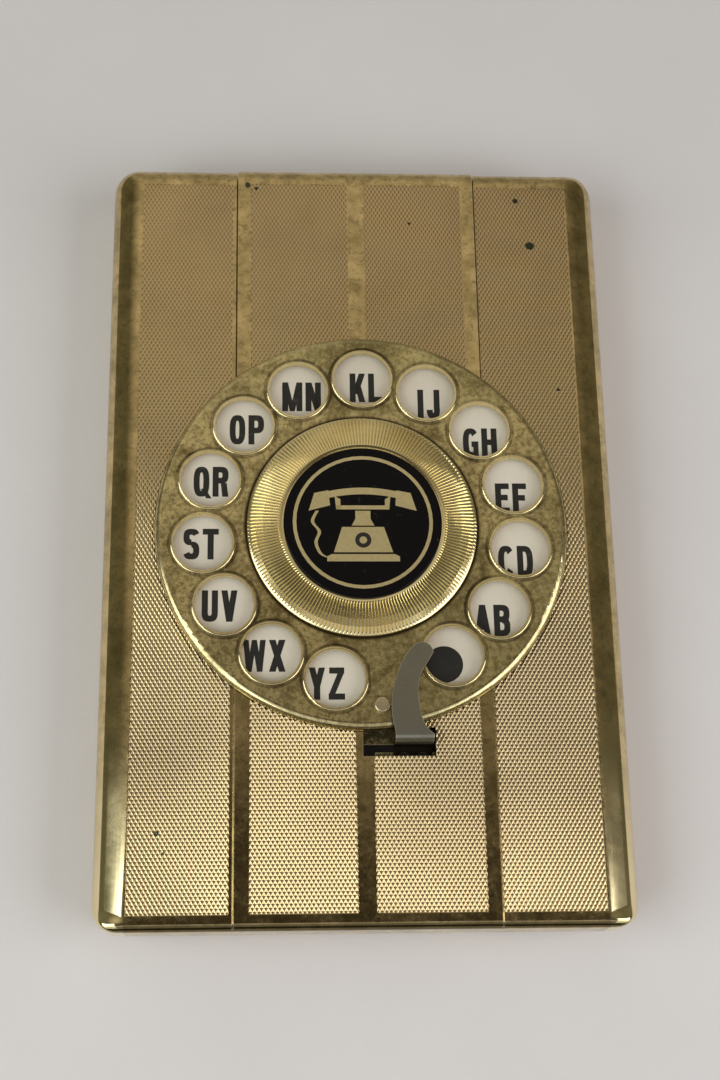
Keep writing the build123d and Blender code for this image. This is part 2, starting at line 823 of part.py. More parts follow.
# ---------------------------------------------------------------- selector
def selector_slots():
    """Slots that ride on the two studs while the slide travels towards the hinge."""
    half = stud_radius + slot_clearance
    high = follower_y + half
    low = follower_y - cam_travel - half
    return [(x - half, x + half, low, high) for x in (selector_rail_x, selector_tail_x)]


def make_selector_slide():
    z_range = (selector_bottom, selector_top)
    arm_y = (follower_y - selector_arm / 2, follower_y + selector_arm / 2)
    rail_half = selector_rail / 2 + selector_rail_margin
    rail_x = (selector_rail_x - rail_half, hook_x)
    tail_x = (selector_tail_x - rail_half, selector_tail_x + rail_half)
    low_y = hook_home_y - hook_width / 2
    slide = block((tail_x[0], rail_x[1]), arm_y, z_range)
    slide += block(rail_x, (low_y, arm_y[1]), z_range)
    slide += block(tail_x, (follower_y - cam_travel - selector_arm, arm_y[1]), z_range)
    for x_low, x_high, y_low, y_high in selector_slots():
        slide -= slot_along(x_low, x_high, y_low, y_high, z_range[0] - 1, z_range[1] + 1)
    return slide - post(0, follower_y, z_range[0] - 1, z_range[1] + 1, follower_radius * follower_shank_ratio)


def make_follower_pin():
    pin = post(0, follower_y, selector_top, cam_top + clip_gap, follower_radius)
    return pin + post(0, follower_y, selector_bottom, selector_top, follower_radius * follower_shank_ratio)


def make_selector_hook():
    """Strip that hangs past the leaves' edge, with a narrow foot below them."""
    y_range = (hook_home_y - hook_width / 2, hook_home_y + hook_width / 2)
    foot_y = (hook_home_y - hook_foot_width / 2, hook_home_y + hook_foot_width / 2)
    foot_low = hook_foot_top - hook_sheet
    top = selector_top + hook_sheet
    strip = block((hook_x, hook_x + hook_sheet), y_range, (foot_low, top))
    strip += block((hook_x - hook_sheet - hook_foot_lap, hook_x), foot_y, (foot_low, hook_foot_top))
    strip += block((hook_x - hook_flange, hook_x), y_range, (selector_top, top))
    for x, y in hook_rivet_places():
        strip -= post(x, y, selector_top - 1, top + 1, small_rivet_diameter / 2)
    return strip


def hook_rivet_places():
    x = hook_x - hook_rivet_inset
    return [(x, hook_home_y + shift) for shift in (-hook_rivet_spread, hook_rivet_spread)]


def make_hook_rivets():
    top = selector_top + hook_sheet
    return together([small_rivet(x, y, selector_top, top) for x, y in hook_rivet_places()])


def small_rivet(x, y, z_low, z_high):
    body = post(x, y, z_low, z_high, small_rivet_diameter / 2)
    return body + post(x, y, z_high, z_high + small_rivet_head_height, small_rivet_head / 2)


def make_selector_studs():
    studs = []
    for x in (selector_rail_x, selector_tail_x):
        under_cam = abs(x) - stud_radius < cam_radius + slot_clearance
        top = cam_bottom - slot_clearance if under_cam else panel_under
        body = post(x, follower_y, cover_top, top, stud_radius)
        head = post(x, follower_y, cover_top, selector_bottom - stud_play / 2, stud_head_diameter / 2)
        studs.append(body + head)
    return together(studs)


# ---------------------------------------------------------------- finger stop and latch
def make_finger_stop():
    """Curved finger over the dial, bent down through the slot to a foot on the latch slide."""
    left, right = stop_foot_x
    bend = stop_bend_y
    left_edge = from_bend((stop_root, *stop_left_edge))
    right_edge = from_bend((stop_tip_right, *stop_right_edge)) + [(right, bend)]
    outline = [
        Line((left, bend), left_edge[0]),
        Spline(*left_edge),
        ThreePointArc(left_edge[-1], from_bend((stop_tip,))[0], right_edge[0]),
        Spline(*right_edge),
    ]
    top = stop_under + stop_sheet
    tongue = Pos(0, 0, stop_under) * extrude(closed_face(outline), amount=stop_sheet)
    back = bend - stop_bend_round
    bend_centre = (bend, top - stop_bend_round)
    bend_face = closed_face([
        arc(bend_centre, stop_bend_round, 90, 180),
        Line((back, latch_top + stop_sheet), (back, latch_top)),
        Line((back + stop_sheet, latch_top), (back + stop_sheet, top - stop_bend_round)),
        arc(bend_centre, stop_bend_round - stop_sheet, 180, 90),
    ])
    wall = along_x(bend_face, left, right)
    foot = block(stop_foot_x, (back - stop_foot_length, back + stop_sheet),
                 (latch_top, latch_top + stop_sheet))
    stop = tongue + wall + foot
    for x, y in stop_rivet_places():
        stop -= post(x, y, latch_top - 1, latch_top + 2, stop_rivet_diameter / 2)
    return stop


def from_bend(points):
    return [(x, stop_bend_y + y) for x, y in points]


def stop_rivet_places():
    inset_x, inset_y = stop_rivet_inset
    y = stop_bend_y - stop_bend_round - inset_y
    return [(stop_foot_x[0] + inset_x, y), (stop_foot_x[1] - inset_x, y)]


def make_stop_rivets():
    top = latch_top + stop_sheet
    rivets = []
    for x, y in stop_rivet_places():
        body = post(x, y, latch_top, top, stop_rivet_diameter / 2)
        rivets.append(body + post(x, y, top, top + stop_rivet_head_height, stop_rivet_head / 2))
    return together(rivets)


def make_latch_slide():
    z_range = (latch_bottom, latch_top)
    slide = block(latch_x, latch_y, z_range)
    slide += block(stop_foot_x, (latch_y[1], stop_bend_y - stop_bend_round + stop_sheet), z_range)
    # The shutter lies below the rear half of the lid's slot.
    shutter_y = (stop_bend_y + shutter_reach[0], stop_bend_y + shutter_reach[1])
    slide += block(shutter_x, shutter_y, z_range)
    # Its rear edge clears the cam over the whole travel.
    for x in (0, latch_travel):
        slide -= post(x, dial_y, z_range[0] - 1, z_range[1] + 1, cam_radius + slot_clearance)
    half = stud_radius + slot_clearance
    for y in latch_stud_y:
        slide -= slot_along(latch_stud_x - half, latch_stud_x + latch_travel + half, y - half, y + half,
                            z_range[0] - 1, z_range[1] + 1)
    low_y = latch_y[0] - sheet
    strip_low = latch_tip_z
    slide += block(latch_strip_x, (low_y, latch_y[0]), (strip_low, latch_top))
    slide += block((latch_strip_x[1], latch_strip_x[1] + latch_tip_length), (low_y, latch_y[0]),
                   (strip_low, strip_low + latch_tip_thickness))
    tab_y = (latch_spring_y - latch_tab_width / 2, latch_spring_y + latch_tab_width / 2)
    return slide + block((latch_x[1], latch_x[1] + latch_tab_length), tab_y, z_range)


def make_latch_studs():
    studs = []
    for y in latch_stud_y:
        body = post(latch_stud_x, y, latch_bottom - slot_clearance, plateau_under, stud_radius)
        head_top = latch_bottom - stud_play
        head = post(latch_stud_x, y, head_top - latch_stud_head_height, head_top,
                    latch_stud_head_diameter / 2)
        studs.append(body + head)
    return together(studs)


def keeper_foot_zone(margin):
    low, high = keeper_x
    wall = front_y + tray_inset + sheet
    return block((low - margin, high + margin), (wall - 1, wall + keeper_depth + 4 + margin),
                 (floor_top - 1, floor_top + 3))


def make_keeper():
    """Strap from the tray floor whose lip lies over the latch tip."""
    low, high = keeper_x
    wall = front_y + tray_inset + tray_fold_round
    lip_low = latch_tip_z + latch_tip_thickness + keeper_gap
    lip_top = lip_low + keeper_sheet
    post_x_range = (high - keeper_sheet, high)
    lip = block((low, high), (wall, wall + keeper_depth), (lip_low, lip_top))
    upright = block(post_x_range, (wall, wall + keeper_depth), (floor_top, lip_top))
    foot = block((low, high), (wall + 1, wall + keeper_depth + keeper_foot_length),
                 (floor_top, floor_top + keeper_sheet))
    keeper = lip + upright + foot
    for x, y in keeper_rivet_places():
        keeper -= post(x, y, floor_top - 1, floor_top + 2, small_rivet_diameter / 2)
    return keeper


def keeper_rivet_places():
    wall = front_y + tray_inset + tray_fold_round
    y = wall + keeper_depth + keeper_foot_length / 2
    first = keeper_x[0] + keeper_rivet_inset
    return [(first, y), (first + keeper_rivet_pitch, y)]


def make_keeper_rivets():
    top = floor_top + keeper_sheet
    return together([small_rivet(x, y, floor_top, top) for x, y in keeper_rivet_places()])


def make_latch_spring():
    start_x = latch_x[1] + latch_tab_length + latch_post_gap
    end_x = latch_post_x - latch_post_diameter / 2 - stud_play
    coil_x = (start_x + latch_spring_leg, end_x - latch_spring_leg)
    z = latch_bottom + latch_thickness / 2
    length = coil_x[1] - coil_x[0]
    wire = latch_spring_wire / 2
    path = Helix(length / latch_spring_turns, length, latch_spring_radius)
    coil = sweep(Plane(origin=path @ 0, z_dir=path % 0) * Circle(wire), path=path)
    coil = Pos(coil_x[0], latch_spring_y, z) * Rot(0, 90, 0) * coil
    low = z - latch_spring_radius
    for x_low, x_high in ((start_x, coil_x[0]), (coil_x[1], end_x)):
        coil += rod_along_x(x_low - latch_spring_lap, x_high + latch_spring_lap, latch_spring_y, low,
                            wire + spring_touch)
    return coil


def make_latch_spring_post():
    return post(latch_post_x, latch_spring_y, cover_top, panel_under, latch_post_diameter / 2)


# ---------------------------------------------------------------- leaves
def leaf_z(index):
    high = leaf_stack_top - index * leaf_pitch
    return (high - leaf_sheet, high)


def leaf_arm_places(index):
    offset = leaf_arm_start - index * leaf_arm_pitch
    return [(offset - leaf_arm_width, offset), (-offset, leaf_arm_width - offset)]


def leaf_tab_x(index):
    pitch = (leaf_right - leaf_left) / len(leaf_names)
    return (leaf_left + index * pitch + leaf_tab_gap, leaf_left + (index + 1) * pitch - leaf_tab_gap)


def make_leaf(index):
    """Stiff leaf: stepped right edge for the hook, front tab, two knuckles on the hinge rod."""
    low, high = leaf_z(index)
    rear = axis_y - leaf_rear_reach
    leaf = block((leaf_left, leaf_right), (leaf_front, leaf_shoulder_y), (low, high))
    leaf += block((-leaf_neck_half, leaf_neck_half), (leaf_shoulder_y, rear), (low, high))
    tab = leaf_tab_x(index)
    leaf += block(tab, (leaf_front - leaf_tab_length, leaf_front), (low, high))
    cut_low = hook_home_y - leaf_notch_lead
    cut_high = hook_home_y + cam_step * (index + leaf_notch_spare)
    leaf -= block((leaf_right - leaf_notch_depth, leaf_right + 1), (cut_low, cut_high),
                  (low - 1, high + 1))
    for x_range in leaf_arm_places(index):
        leaf += leaf_arm(x_range, low, high)
    return leaf


def leaf_arm(x_range, low, high):
    """Arm from the leaf's rear edge up to a knuckle round the hinge rod."""
    reach = axis_y - leaf_arm_reach
    outer = reach - leaf_arm_sheet
    root = axis_y - leaf_rear_reach - leaf_arm_lap
    knee = axis_z - leaf_arm_drop
    knuckle = knuckle_bore + leaf_knuckle_wall
    under, over = [polar((axis_y, axis_z), knuckle, angle) for angle in leaf_arm_deg]
    if (low + high) / 2 > knee:
        points = [(root, low), (outer, low), under, over, (outer, high), (root, high)]
    else:
        points = [(root, low), (reach, low), (reach, knee), under, over, (outer, knee + leaf_arm_lap),
                  (outer, high), (root, high)]
    arm = along_x(make_face(Polyline(*points, close=True)), *x_range)
    arm += rod_along_x(x_range[0], x_range[1], axis_y, axis_z, knuckle)
    return arm - rod_along_x(x_range[0] - 1, x_range[1] + 1, axis_y, axis_z, knuckle_bore)


# ---------------------------------------------------------------- write the pieces
def main():
    os.makedirs("parts", exist_ok=True)
    makers = {
        "base_felt": make_felt, "base_tray": make_base_tray, "tray_liner": make_liner,
        "note_card": make_note_card, "bracket_rivets": make_bracket_rivets,
        "hinge_rod": make_rod, "rod_clips": make_rod_clips,
        "latch_keeper": make_keeper, "keeper_rivets": make_keeper_rivets,
        "lid_shell": make_lid_shell, "mechanism_plate": make_cover_plate,
        "plate_posts": make_posts, "plate_screws": make_screws,
        "spindle_bush": make_bush, "letter_card": make_letter_card,
        "return_spring": make_return_spring, "spring_anchor": make_spring_anchor,
        "selector_studs": make_selector_studs, "latch_studs": make_latch_studs,
        "latch_spring": make_latch_spring, "latch_spring_post": make_latch_spring_post,
        "dial_plate": make_dial_plate, "stop_pin": make_stop_pin, "hub_cap": make_hub_cap,
        "emblem_disc": make_emblem_disc, "spindle": make_spindle, "dial_nut": make_dial_nut,
        "scroll_cam": make_scroll_cam, "cam_washer": make_cam_washer,
        "spindle_clip": make_spindle_clip, "selector_slide": make_selector_slide,
        "selector_hook": make_selector_hook, "hook_rivets": make_hook_rivets,
        "follower_pin": make_follower_pin, "latch_slide": make_latch_slide,
        "finger_stop": make_finger_stop, "stop_rivets": make_stop_rivets,
    }
    for name, maker in makers.items():
        save(name, maker())
    for label, side in (("left", -1), ("right", 1)):
        save("hinge_bracket_" + label, make_bracket(side))
        save("popup_spring_" + label, make_popup_spring(side))
    for index, name in enumerate(leaf_names):
        save("leaf_" + name, make_leaf(index))


main()
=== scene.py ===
import bpy
import json
import math
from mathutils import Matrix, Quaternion, Vector
from mathutils.geometry import delaunay_2d_cdt

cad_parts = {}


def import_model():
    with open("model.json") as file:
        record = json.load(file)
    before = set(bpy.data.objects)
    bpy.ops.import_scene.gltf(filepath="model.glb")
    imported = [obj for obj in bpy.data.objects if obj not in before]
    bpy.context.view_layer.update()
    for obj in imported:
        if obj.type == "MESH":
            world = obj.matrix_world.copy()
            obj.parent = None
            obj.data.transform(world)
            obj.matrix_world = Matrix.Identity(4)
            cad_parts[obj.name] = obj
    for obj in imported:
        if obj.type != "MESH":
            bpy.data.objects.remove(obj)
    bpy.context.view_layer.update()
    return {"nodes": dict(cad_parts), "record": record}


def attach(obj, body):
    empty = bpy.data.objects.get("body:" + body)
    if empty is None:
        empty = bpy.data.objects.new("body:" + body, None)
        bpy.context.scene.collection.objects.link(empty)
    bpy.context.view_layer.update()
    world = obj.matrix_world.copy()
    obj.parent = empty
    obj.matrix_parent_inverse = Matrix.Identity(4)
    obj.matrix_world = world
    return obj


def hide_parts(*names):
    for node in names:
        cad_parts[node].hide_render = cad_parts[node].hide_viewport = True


# Looks of the pop up telephone index: materials for the CAD nodes, print on the card, the leaves and the hub,
# and finer shapes for the lid's shell and the hub's ring. Pieces are in mm, the floor, lamps and camera in m.

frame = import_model()
MM = 0.001

# ------------------------------------------------------------------ places, mm
DIAL_Y = -2.2
CARD_TOP = 18.7
EMBLEM_TOP = 22.9
HOLES = 14
HOLE_RADIUS = 33.8
FIRST_HOLE = -57.2
HOLE_STEP = 24.38
HOLE_RIM = (5.9, 6.85)
HOLE_COLLAR = (6.9, 7.5)
DIAL_EDGE = (42.3, 42.8)
LEAF_NAMES = ("ab", "cd", "ef", "gh", "ij", "kl", "mn", "op", "qr", "st", "uv", "wx", "yz")

# The lid's shell.
HALF_WIDTH = 55.0
FRONT_Y, AXIS_Y, AXIS_Z = -85.75, 81.45, 13.5
PANEL_TOP, SKIRT_LOW, WALL = 17.8, 10.2, 0.8
SIDE_DROP, FRONT_ROUND, REAR_ROUND = 5.8, 1.6, 4.3
# The sides roll down from a crease along the outer fields.
SIDE_START, SIDE_CREASE = 48.15, 18.0
PLAN_CORNER, TOP_CORNER = 5.5, 1.4
PLATEAU_TOP_HALF, PLATEAU_FOOT_HALF, PLATEAU_RISE = 26.65, 27.05, 0.6
SLOT_X, SLOT_Y = (-0.5, 14.4), (-51.2, -45.3)
BUSH_HOLE = 4.65
# Degrees that the rear edge wraps on below its quarter round.
WRAP = 30.0
# The skirt's end rises towards the rear, from this far before the hinge's axis.
TAIL_BACK, TAIL_SLOPE = 2, 0.2

# The engine-turned fields, and the lozenge pits in them.
FIELDS = ((-48.0, -27.8), (-23.6, -2.0), (1.8, 23.8), (27.2, 47.9))
FIELD_FRONT, FIELD_REAR = -82.6, 80.6
PIT_WIDTH, PIT_LENGTH = 0.90, 1.55
# Dark tarnish spots on the lid: X, Y, radius.
TARNISH = ((39.5, 66.0, 1.1), (36.5, 77.5, 0.5), (-24.5, 80.5, 0.6), (-22.6, 79.6, 0.4), (-42.2, -66.5, 0.5),
           (-40.8, -70.5, 0.35), (12.0, 71.0, 0.35), (44.0, 30.5, 0.4))


# ------------------------------------------------------------------ material helpers
def feed(tree, source, socket):
    """Sets a socket to a number or a colour, or links a node's output to it."""
    if isinstance(source, (int, float)):
        socket.default_value = source
    elif isinstance(source, tuple):
        socket.default_value = (*source, 1) if len(socket.default_value) == 4 else source
    else:
        tree.links.new(source, socket)


def mix_colours(tree, share, first, second, blend="MIX"):
    node = tree.nodes.new("ShaderNodeMix")
    node.data_type = "RGBA"
    node.blend_type = blend
    feed(tree, share, node.inputs[0])
    feed(tree, first, node.inputs[6])
    feed(tree, second, node.inputs[7])
    return node.outputs[2]


class Nodes:
    """A material's node tree with short calls for the nodes used here."""

    def __init__(self, name, colour, metallic, roughness):
        self.mat = bpy.data.materials.new(name)
        self.mat.use_nodes = True
        self.tree = self.mat.node_tree
        self.shader = self.tree.nodes["Principled BSDF"]
        self.shader.inputs["Base Color"].default_value = (*colour, 1)
        self.shader.inputs["Metallic"].default_value = metallic
        self.shader.inputs["Roughness"].default_value = roughness
        self.mat.diffuse_color = (*colour, 1)
        self.place = self.tree.nodes.new("ShaderNodeTexCoord").outputs["Object"]

    def link(self, source, target):
        feed(self.tree, source, target)

    def math(self, kind, a, b=0.0, clamp=False):
        node = self.tree.nodes.new("ShaderNodeMath")
        node.operation = kind
        node.use_clamp = clamp
        self.link(a, node.inputs[0])
        self.link(b, node.inputs[1])
        return node.outputs[0]

    def add(self, a, b):
        return self.math("ADD", a, b)

    def sub(self, a, b):
        return self.math("SUBTRACT", a, b)

    def mul(self, a, b):
        return self.math("MULTIPLY", a, b)

    def inverse(self, value):
        return self.sub(1.0, value)

    def ridge(self, value):
        """1 at whole numbers, 0 halfway between them."""
        return self.inverse(self.mul(self.math("PINGPONG", value, 0.5), 2.0))

    def length(self, x, y):
        return self.math("SQRT", self.add(self.mul(x, x), self.mul(y, y)))

    def axes(self):
        """X, Y and Z in mm."""
        node = self.tree.nodes.new("ShaderNodeSeparateXYZ")
        self.link(self.place, node.inputs[0])
        return [self.mul(out, 1 / MM) for out in node.outputs]

    def scaled(self, x, y, z):
        node = self.tree.nodes.new("ShaderNodeMapping")
        self.link(self.place, node.inputs["Vector"])
        node.inputs["Scale"].default_value = (x, y, z)
        return node.outputs[0]

    def noise(self, per_metre, detail=4.0, rough=0.55, vector=None, distortion=0.0):
        node = self.tree.nodes.new("ShaderNodeTexNoise")
        self.link(vector or self.place, node.inputs["Vector"])
        node.inputs["Scale"].default_value = per_metre
        node.inputs["Detail"].default_value = detail
        node.inputs["Roughness"].default_value = rough
        node.inputs["Distortion"].default_value = distortion
        return node.outputs[0]

    def span(self, value, low, high, out_low=0.0, out_high=1.0, smooth=False):
        """A value between low and high moved to lie between out_low and out_high, and held there."""
        node = self.tree.nodes.new("ShaderNodeMapRange")
        node.interpolation_type = "SMOOTHSTEP" if smooth else "LINEAR"
        for slot, number in zip(("Value", "From Min", "From Max", "To Min", "To Max"),
                                (value, low, high, out_low, out_high)):
            self.link(number, node.inputs[slot])
        return node.outputs[0]

    def mix(self, share, first, second):
        return mix_colours(self.tree, share, first, second)

    def band(self, value, low, high, soft):
        """1 between low and high, 0 outside."""
        rise = self.span(value, low - soft, low + soft)
        fall = self.span(value, high - soft, high + soft, 1.0, 0.0)
        return self.mul(rise, fall)

    def edges(self, radius_mm):
        """1 at sharp outer edges, 0 on flats."""
        node = self.tree.nodes.new("ShaderNodeBevel")
        node.samples = 4
        node.inputs["Radius"].default_value = radius_mm * MM
        geometry = self.tree.nodes.new("ShaderNodeNewGeometry")
        dot = self.tree.nodes.new("ShaderNodeVectorMath")
        dot.operation = "DOT_PRODUCT"
        self.link(node.outputs[0], dot.inputs[0])
        self.link(geometry.outputs["Normal"], dot.inputs[1])
        return self.span(dot.outputs["Value"], 0.99, 0.80)

    def bump(self, height, depth_mm, under=None):
        node = self.tree.nodes.new("ShaderNodeBump")
        node.inputs["Strength"].default_value = 1.0
        node.inputs["Distance"].default_value = depth_mm * MM
        self.link(height, node.inputs["Height"])
        if under:
            self.link(under, node.inputs["Normal"])
        return node.outputs[0]

    def finish(self, colour=None, roughness=None, normal=None):
        for value, slot in ((colour, "Base Color"), (roughness, "Roughness"), (normal, "Normal")):
            if value is not None:
                self.link(value, self.shader.inputs[slot])
        return self.mat


# ------------------------------------------------------------------ the lid's brass
LID = {
    "front": (0.86, 0.69, 0.38),
    "rear": (0.68, 0.50, 0.27),
    "worn": (0.40, 0.28, 0.14),
    "clouded": (0.70, 0.50, 0.30),
    "shaded": (0.30, 0.235, 0.15),
    "hollow": (0.10, 0.055, 0.022),
    "bead_glint": (1.0, 0.90, 0.62),
    "polish": (0.74, 0.58, 0.30),
    "old_polish": (0.30, 0.24, 0.10),
    "speck": (0.12, 0.10, 0.045),
    "corner_highlight": (0.96, 0.84, 0.52),
    "lip": (0.08, 0.06, 0.025),
    "tarnish": (0.07, 0.08, 0.055),
    "edge": (0.90, 0.82, 0.62),
    "step_highlight": (0.86, 0.76, 0.52),
    "centre_shade": (0.32, 0.24, 0.13),
}


def lid_fields(m, x, y, z):
    """1 inside the engine-turned fields, 0 elsewhere."""
    bands = [m.band(x, low, high, 0.12) for low, high in FIELDS]
    fields = bands[0]
    for band in bands[1:]:
        fields = m.add(fields, band)
    fields = m.mul(fields, m.band(y, FIELD_FRONT, FIELD_REAR, 0.1))
    return m.mul(fields, m.span(z, PANEL_TOP - 0.6, PANEL_TOP - 0.3))


def lid_polish_and_highlight(m, y, sides, blotch):
    """Plain brass beside the fields and on the rolled sides, with painted highlight near the front corners.
    """
    polish = m.mix(m.span(blotch, 0.35, 0.65), LID["polish"], LID["old_polish"])
    speck = m.span(m.noise(620, 5.0, 0.75, distortion=0.4), 0.50, 0.64, 0.0, 0.75)
    polish = m.mix(m.mul(speck, m.span(sides, 0, 1, 1.0, 0.7)), polish, LID["speck"])
    # Painted highlight: the sides are lighter towards the front corners.
    corner_highlight = m.mul(sides, m.span(y, -76, -40, 0.9, 0.0))
    return m.mix(corner_highlight, polish, LID["corner_highlight"])


def tarnished(m, x, y, blotch, colour):
    """The colour with a few dark spots of uneven outline."""
    for spot_x, spot_y, radius in TARNISH:
        away = m.length(m.sub(x, spot_x), m.sub(y, spot_y))
        reach = m.mul(m.span(blotch, 0.3, 0.7, 0.35, 1.6), radius)
        colour = m.mix(m.math("LESS_THAN", away, reach), colour, LID["tarnish"])
    return colour


def lid_brass():
    """Engine-turned brass, brighter towards the front, partly as painted light, and more deeply marked there.

    Spans over y are in mm, and the lid runs from about -86 at its front edge to 86 at its hinge.
    """
    m = Nodes("lid_brass", (0.80, 0.62, 0.33), 1.0, 0.25)
    x, y, z = m.axes()
    off_centre = m.math("ABSOLUTE", x)
    fields = lid_fields(m, x, y, z)
    plain = m.math("SUBTRACT", 1.0, fields, True)
    sides = m.span(off_centre, SIDE_START - 0.05, SIDE_START + 0.35)
    stain = m.noise(28, 5.0, 0.6)
    blotch = m.noise(160, 5.0, 0.65)

    # Staggered lozenge pits, painted glints on the beads between them, and painted shade in lines along their
    # columns.
    across, along = m.mul(x, 1 / PIT_WIDTH), m.mul(y, 1 / PIT_LENGTH)
    first, second = m.ridge(m.add(across, along)), m.ridge(m.sub(across, along))
    pit = m.mul(m.math("MINIMUM", first, second), fields)
    hollow = m.mul(m.math("POWER", pit, 1.6), m.span(y, -45, 30, 0.95, 0.5))
    bead_glint = m.math("POWER", m.mul(m.inverse(first), m.inverse(second)), 2.0)
    bead_glint = m.mul(m.mul(bead_glint, fields), m.span(y, -70, -30, 0.15, 0.75))
    column_shade = m.mul(m.ridge(m.mul(across, 2.0)), fields)
    column_shade = m.mul(column_shade, m.mul(m.span(y, -75, -55), m.span(y, -40, 30, 0.60, 0.15)))

    worn = m.mul(m.span(stain, 0.48, 0.70), m.span(y, -60, 80, 0.45, 1.0))
    # Partly painted light: paler brass towards the front, browner towards the rear.
    colour = m.mix(m.span(y, -25, 85), LID["front"], LID["rear"])
    colour = m.mix(m.mul(worn, 0.45), colour, LID["worn"])
    colour = m.mix(m.span(m.noise(9, 3.0, 0.5), 0.35, 0.7, 0.0, 0.3), colour, LID["clouded"])
    middle = m.mul(m.span(y, -78, -58), m.span(y, -25, 25, 1.0, 0.0))
    shade = m.mul(m.mul(m.span(m.noise(17, 3.0, 0.55), 0.38, 0.62), fields), m.mul(middle, 0.62))
    colour = m.mix(shade, colour, LID["shaded"])
    # The pits are darkened; the column lines are painted shade.
    colour = m.mix(m.math("MAXIMUM", hollow, column_shade), colour, LID["hollow"])
    # Painted highlight: glints on the beads.
    colour = m.mix(bead_glint, colour, LID["bead_glint"])
    colour = m.mix(m.mul(plain, 0.75), colour, lid_polish_and_highlight(m, y, sides, blotch))
    # Painted shade: the front round is darkened, so it shows no bright line.
    lip = m.span(y, FRONT_Y + 1.05, FRONT_Y + 1.6, 0.85, 0.0)
    lip = m.mul(lip, m.span(z, PANEL_TOP - 1.4, PANEL_TOP - 0.9))
    colour = m.mix(lip, colour, LID["lip"])
    colour = tarnished(m, x, y, blotch, colour)
    # Painted highlight along the sharp edges.
    colour = m.mix(m.mul(m.edges(0.4), 0.5), colour, LID["edge"])
    # Painted highlight: the plateau's steps show as thin pale lines towards the front.
    step_highlight = m.band(off_centre, PLATEAU_TOP_HALF - 0.03, PLATEAU_FOOT_HALF + 0.03, 0.05)
    step_highlight = m.mul(step_highlight, m.span(y, -25, 15, 0.55, 0.0))
    on_top = m.mul(m.span(z, PANEL_TOP - 0.8, PANEL_TOP - 0.4), m.span(y, FRONT_Y + 0.75, FRONT_Y + 1.35))
    step_highlight = m.mul(step_highlight, on_top)
    colour = m.mix(step_highlight, colour, LID["step_highlight"])
    # Painted shade: the middle panel is darker towards the front.
    centre_shade = m.mul(m.span(off_centre, 24, 27, 0.24, 0.0), m.span(y, -60, -20, 1.0, 0.0))
    colour = m.mix(m.mul(centre_shade, fields), colour, LID["centre_shade"])

    rough = m.add(m.span(stain, 0.3, 0.75, 0.0, 0.10), m.span(fields, 0.0, 1.0, 0.05, 0.20))
    scuff = m.mul(plain, m.span(m.noise(520, 6.0, 0.8), 0.42, 0.72))
    rough = m.add(rough, m.mul(scuff, m.span(sides, 0, 1, 0.20, 0.03)))
    rough = m.add(rough, m.mul(step_highlight, 0.25))
    normal = m.bump(m.mul(pit, m.span(y, -40, 30, -1.0, -0.55)), 0.15)
    normal = m.bump(m.noise(420, 3.0, 0.6), 0.003, normal)
    return m.finish(colour, rough, normal)


# ------------------------------------------------------------------ the other materials
PALE_SPECK = (0.92, 0.82, 0.50)
EDGE_HIGHLIGHT = (0.93, 0.84, 0.58)
GREENISH = (0.42, 0.42, 0.20)
RUBBED = (0.88, 0.76, 0.46)
GRIME = (0.05, 0.035, 0.018)
STEEL_EDGE_HIGHLIGHT = (0.86, 0.82, 0.72)
SLOT_SHADE = (0.020, 0.015, 0.010)


def dial_marks(m, mottle, tint, rough, ring_radius):
    """Adds grime around the hub and the finger holes, and polish on the holes' rims and the dial's edge."""
    x, y, _ = m.axes()
    y = m.sub(y, DIAL_Y)
    away = m.length(x, y)
    ring = m.span(away, ring_radius + 0.25, ring_radius + 0.8, 1.0, 0.0)
    # Distance to the nearest finger hole, from the angle past the first hole.
    turn = m.mul(m.math("ARCTAN2", y, x), 180 / math.pi)
    turn = m.sub(turn, FIRST_HOLE - HOLE_STEP / 2)
    turn = m.add(turn, m.mul(m.math("LESS_THAN", turn, 0.0), 360.0))
    real = m.math("LESS_THAN", turn, HOLE_STEP * HOLES)
    local = m.sub(m.math("MODULO", turn, HOLE_STEP), HOLE_STEP / 2)
    cosine = m.math("COSINE", m.mul(local, math.pi / 180))
    square = m.add(m.mul(away, away), HOLE_RADIUS ** 2)
    hole = m.math("SQRT", m.sub(square, m.mul(m.mul(away, cosine), 2 * HOLE_RADIUS)))
    polished = m.mul(m.band(hole, *HOLE_RIM, 0.06), real)
    collar = m.mul(m.mul(m.band(hole, *HOLE_COLLAR, 0.12), real), m.span(mottle, 0.35, 0.6, 0.25, 0.8))
    shine = m.math("MAXIMUM", polished, m.mul(m.span(away, *DIAL_EDGE), 0.3))
    tint = m.mix(m.span(m.noise(22, 3.0, 0.5), 0.45, 0.65, 0.0, 0.22), tint, GREENISH)
    tint = m.mix(m.mul(shine, 0.6), tint, RUBBED)
    tint = m.mix(m.math("MAXIMUM", ring, collar), tint, GRIME)
    return tint, m.span(shine, 0.0, 1.0, rough, 0.12)


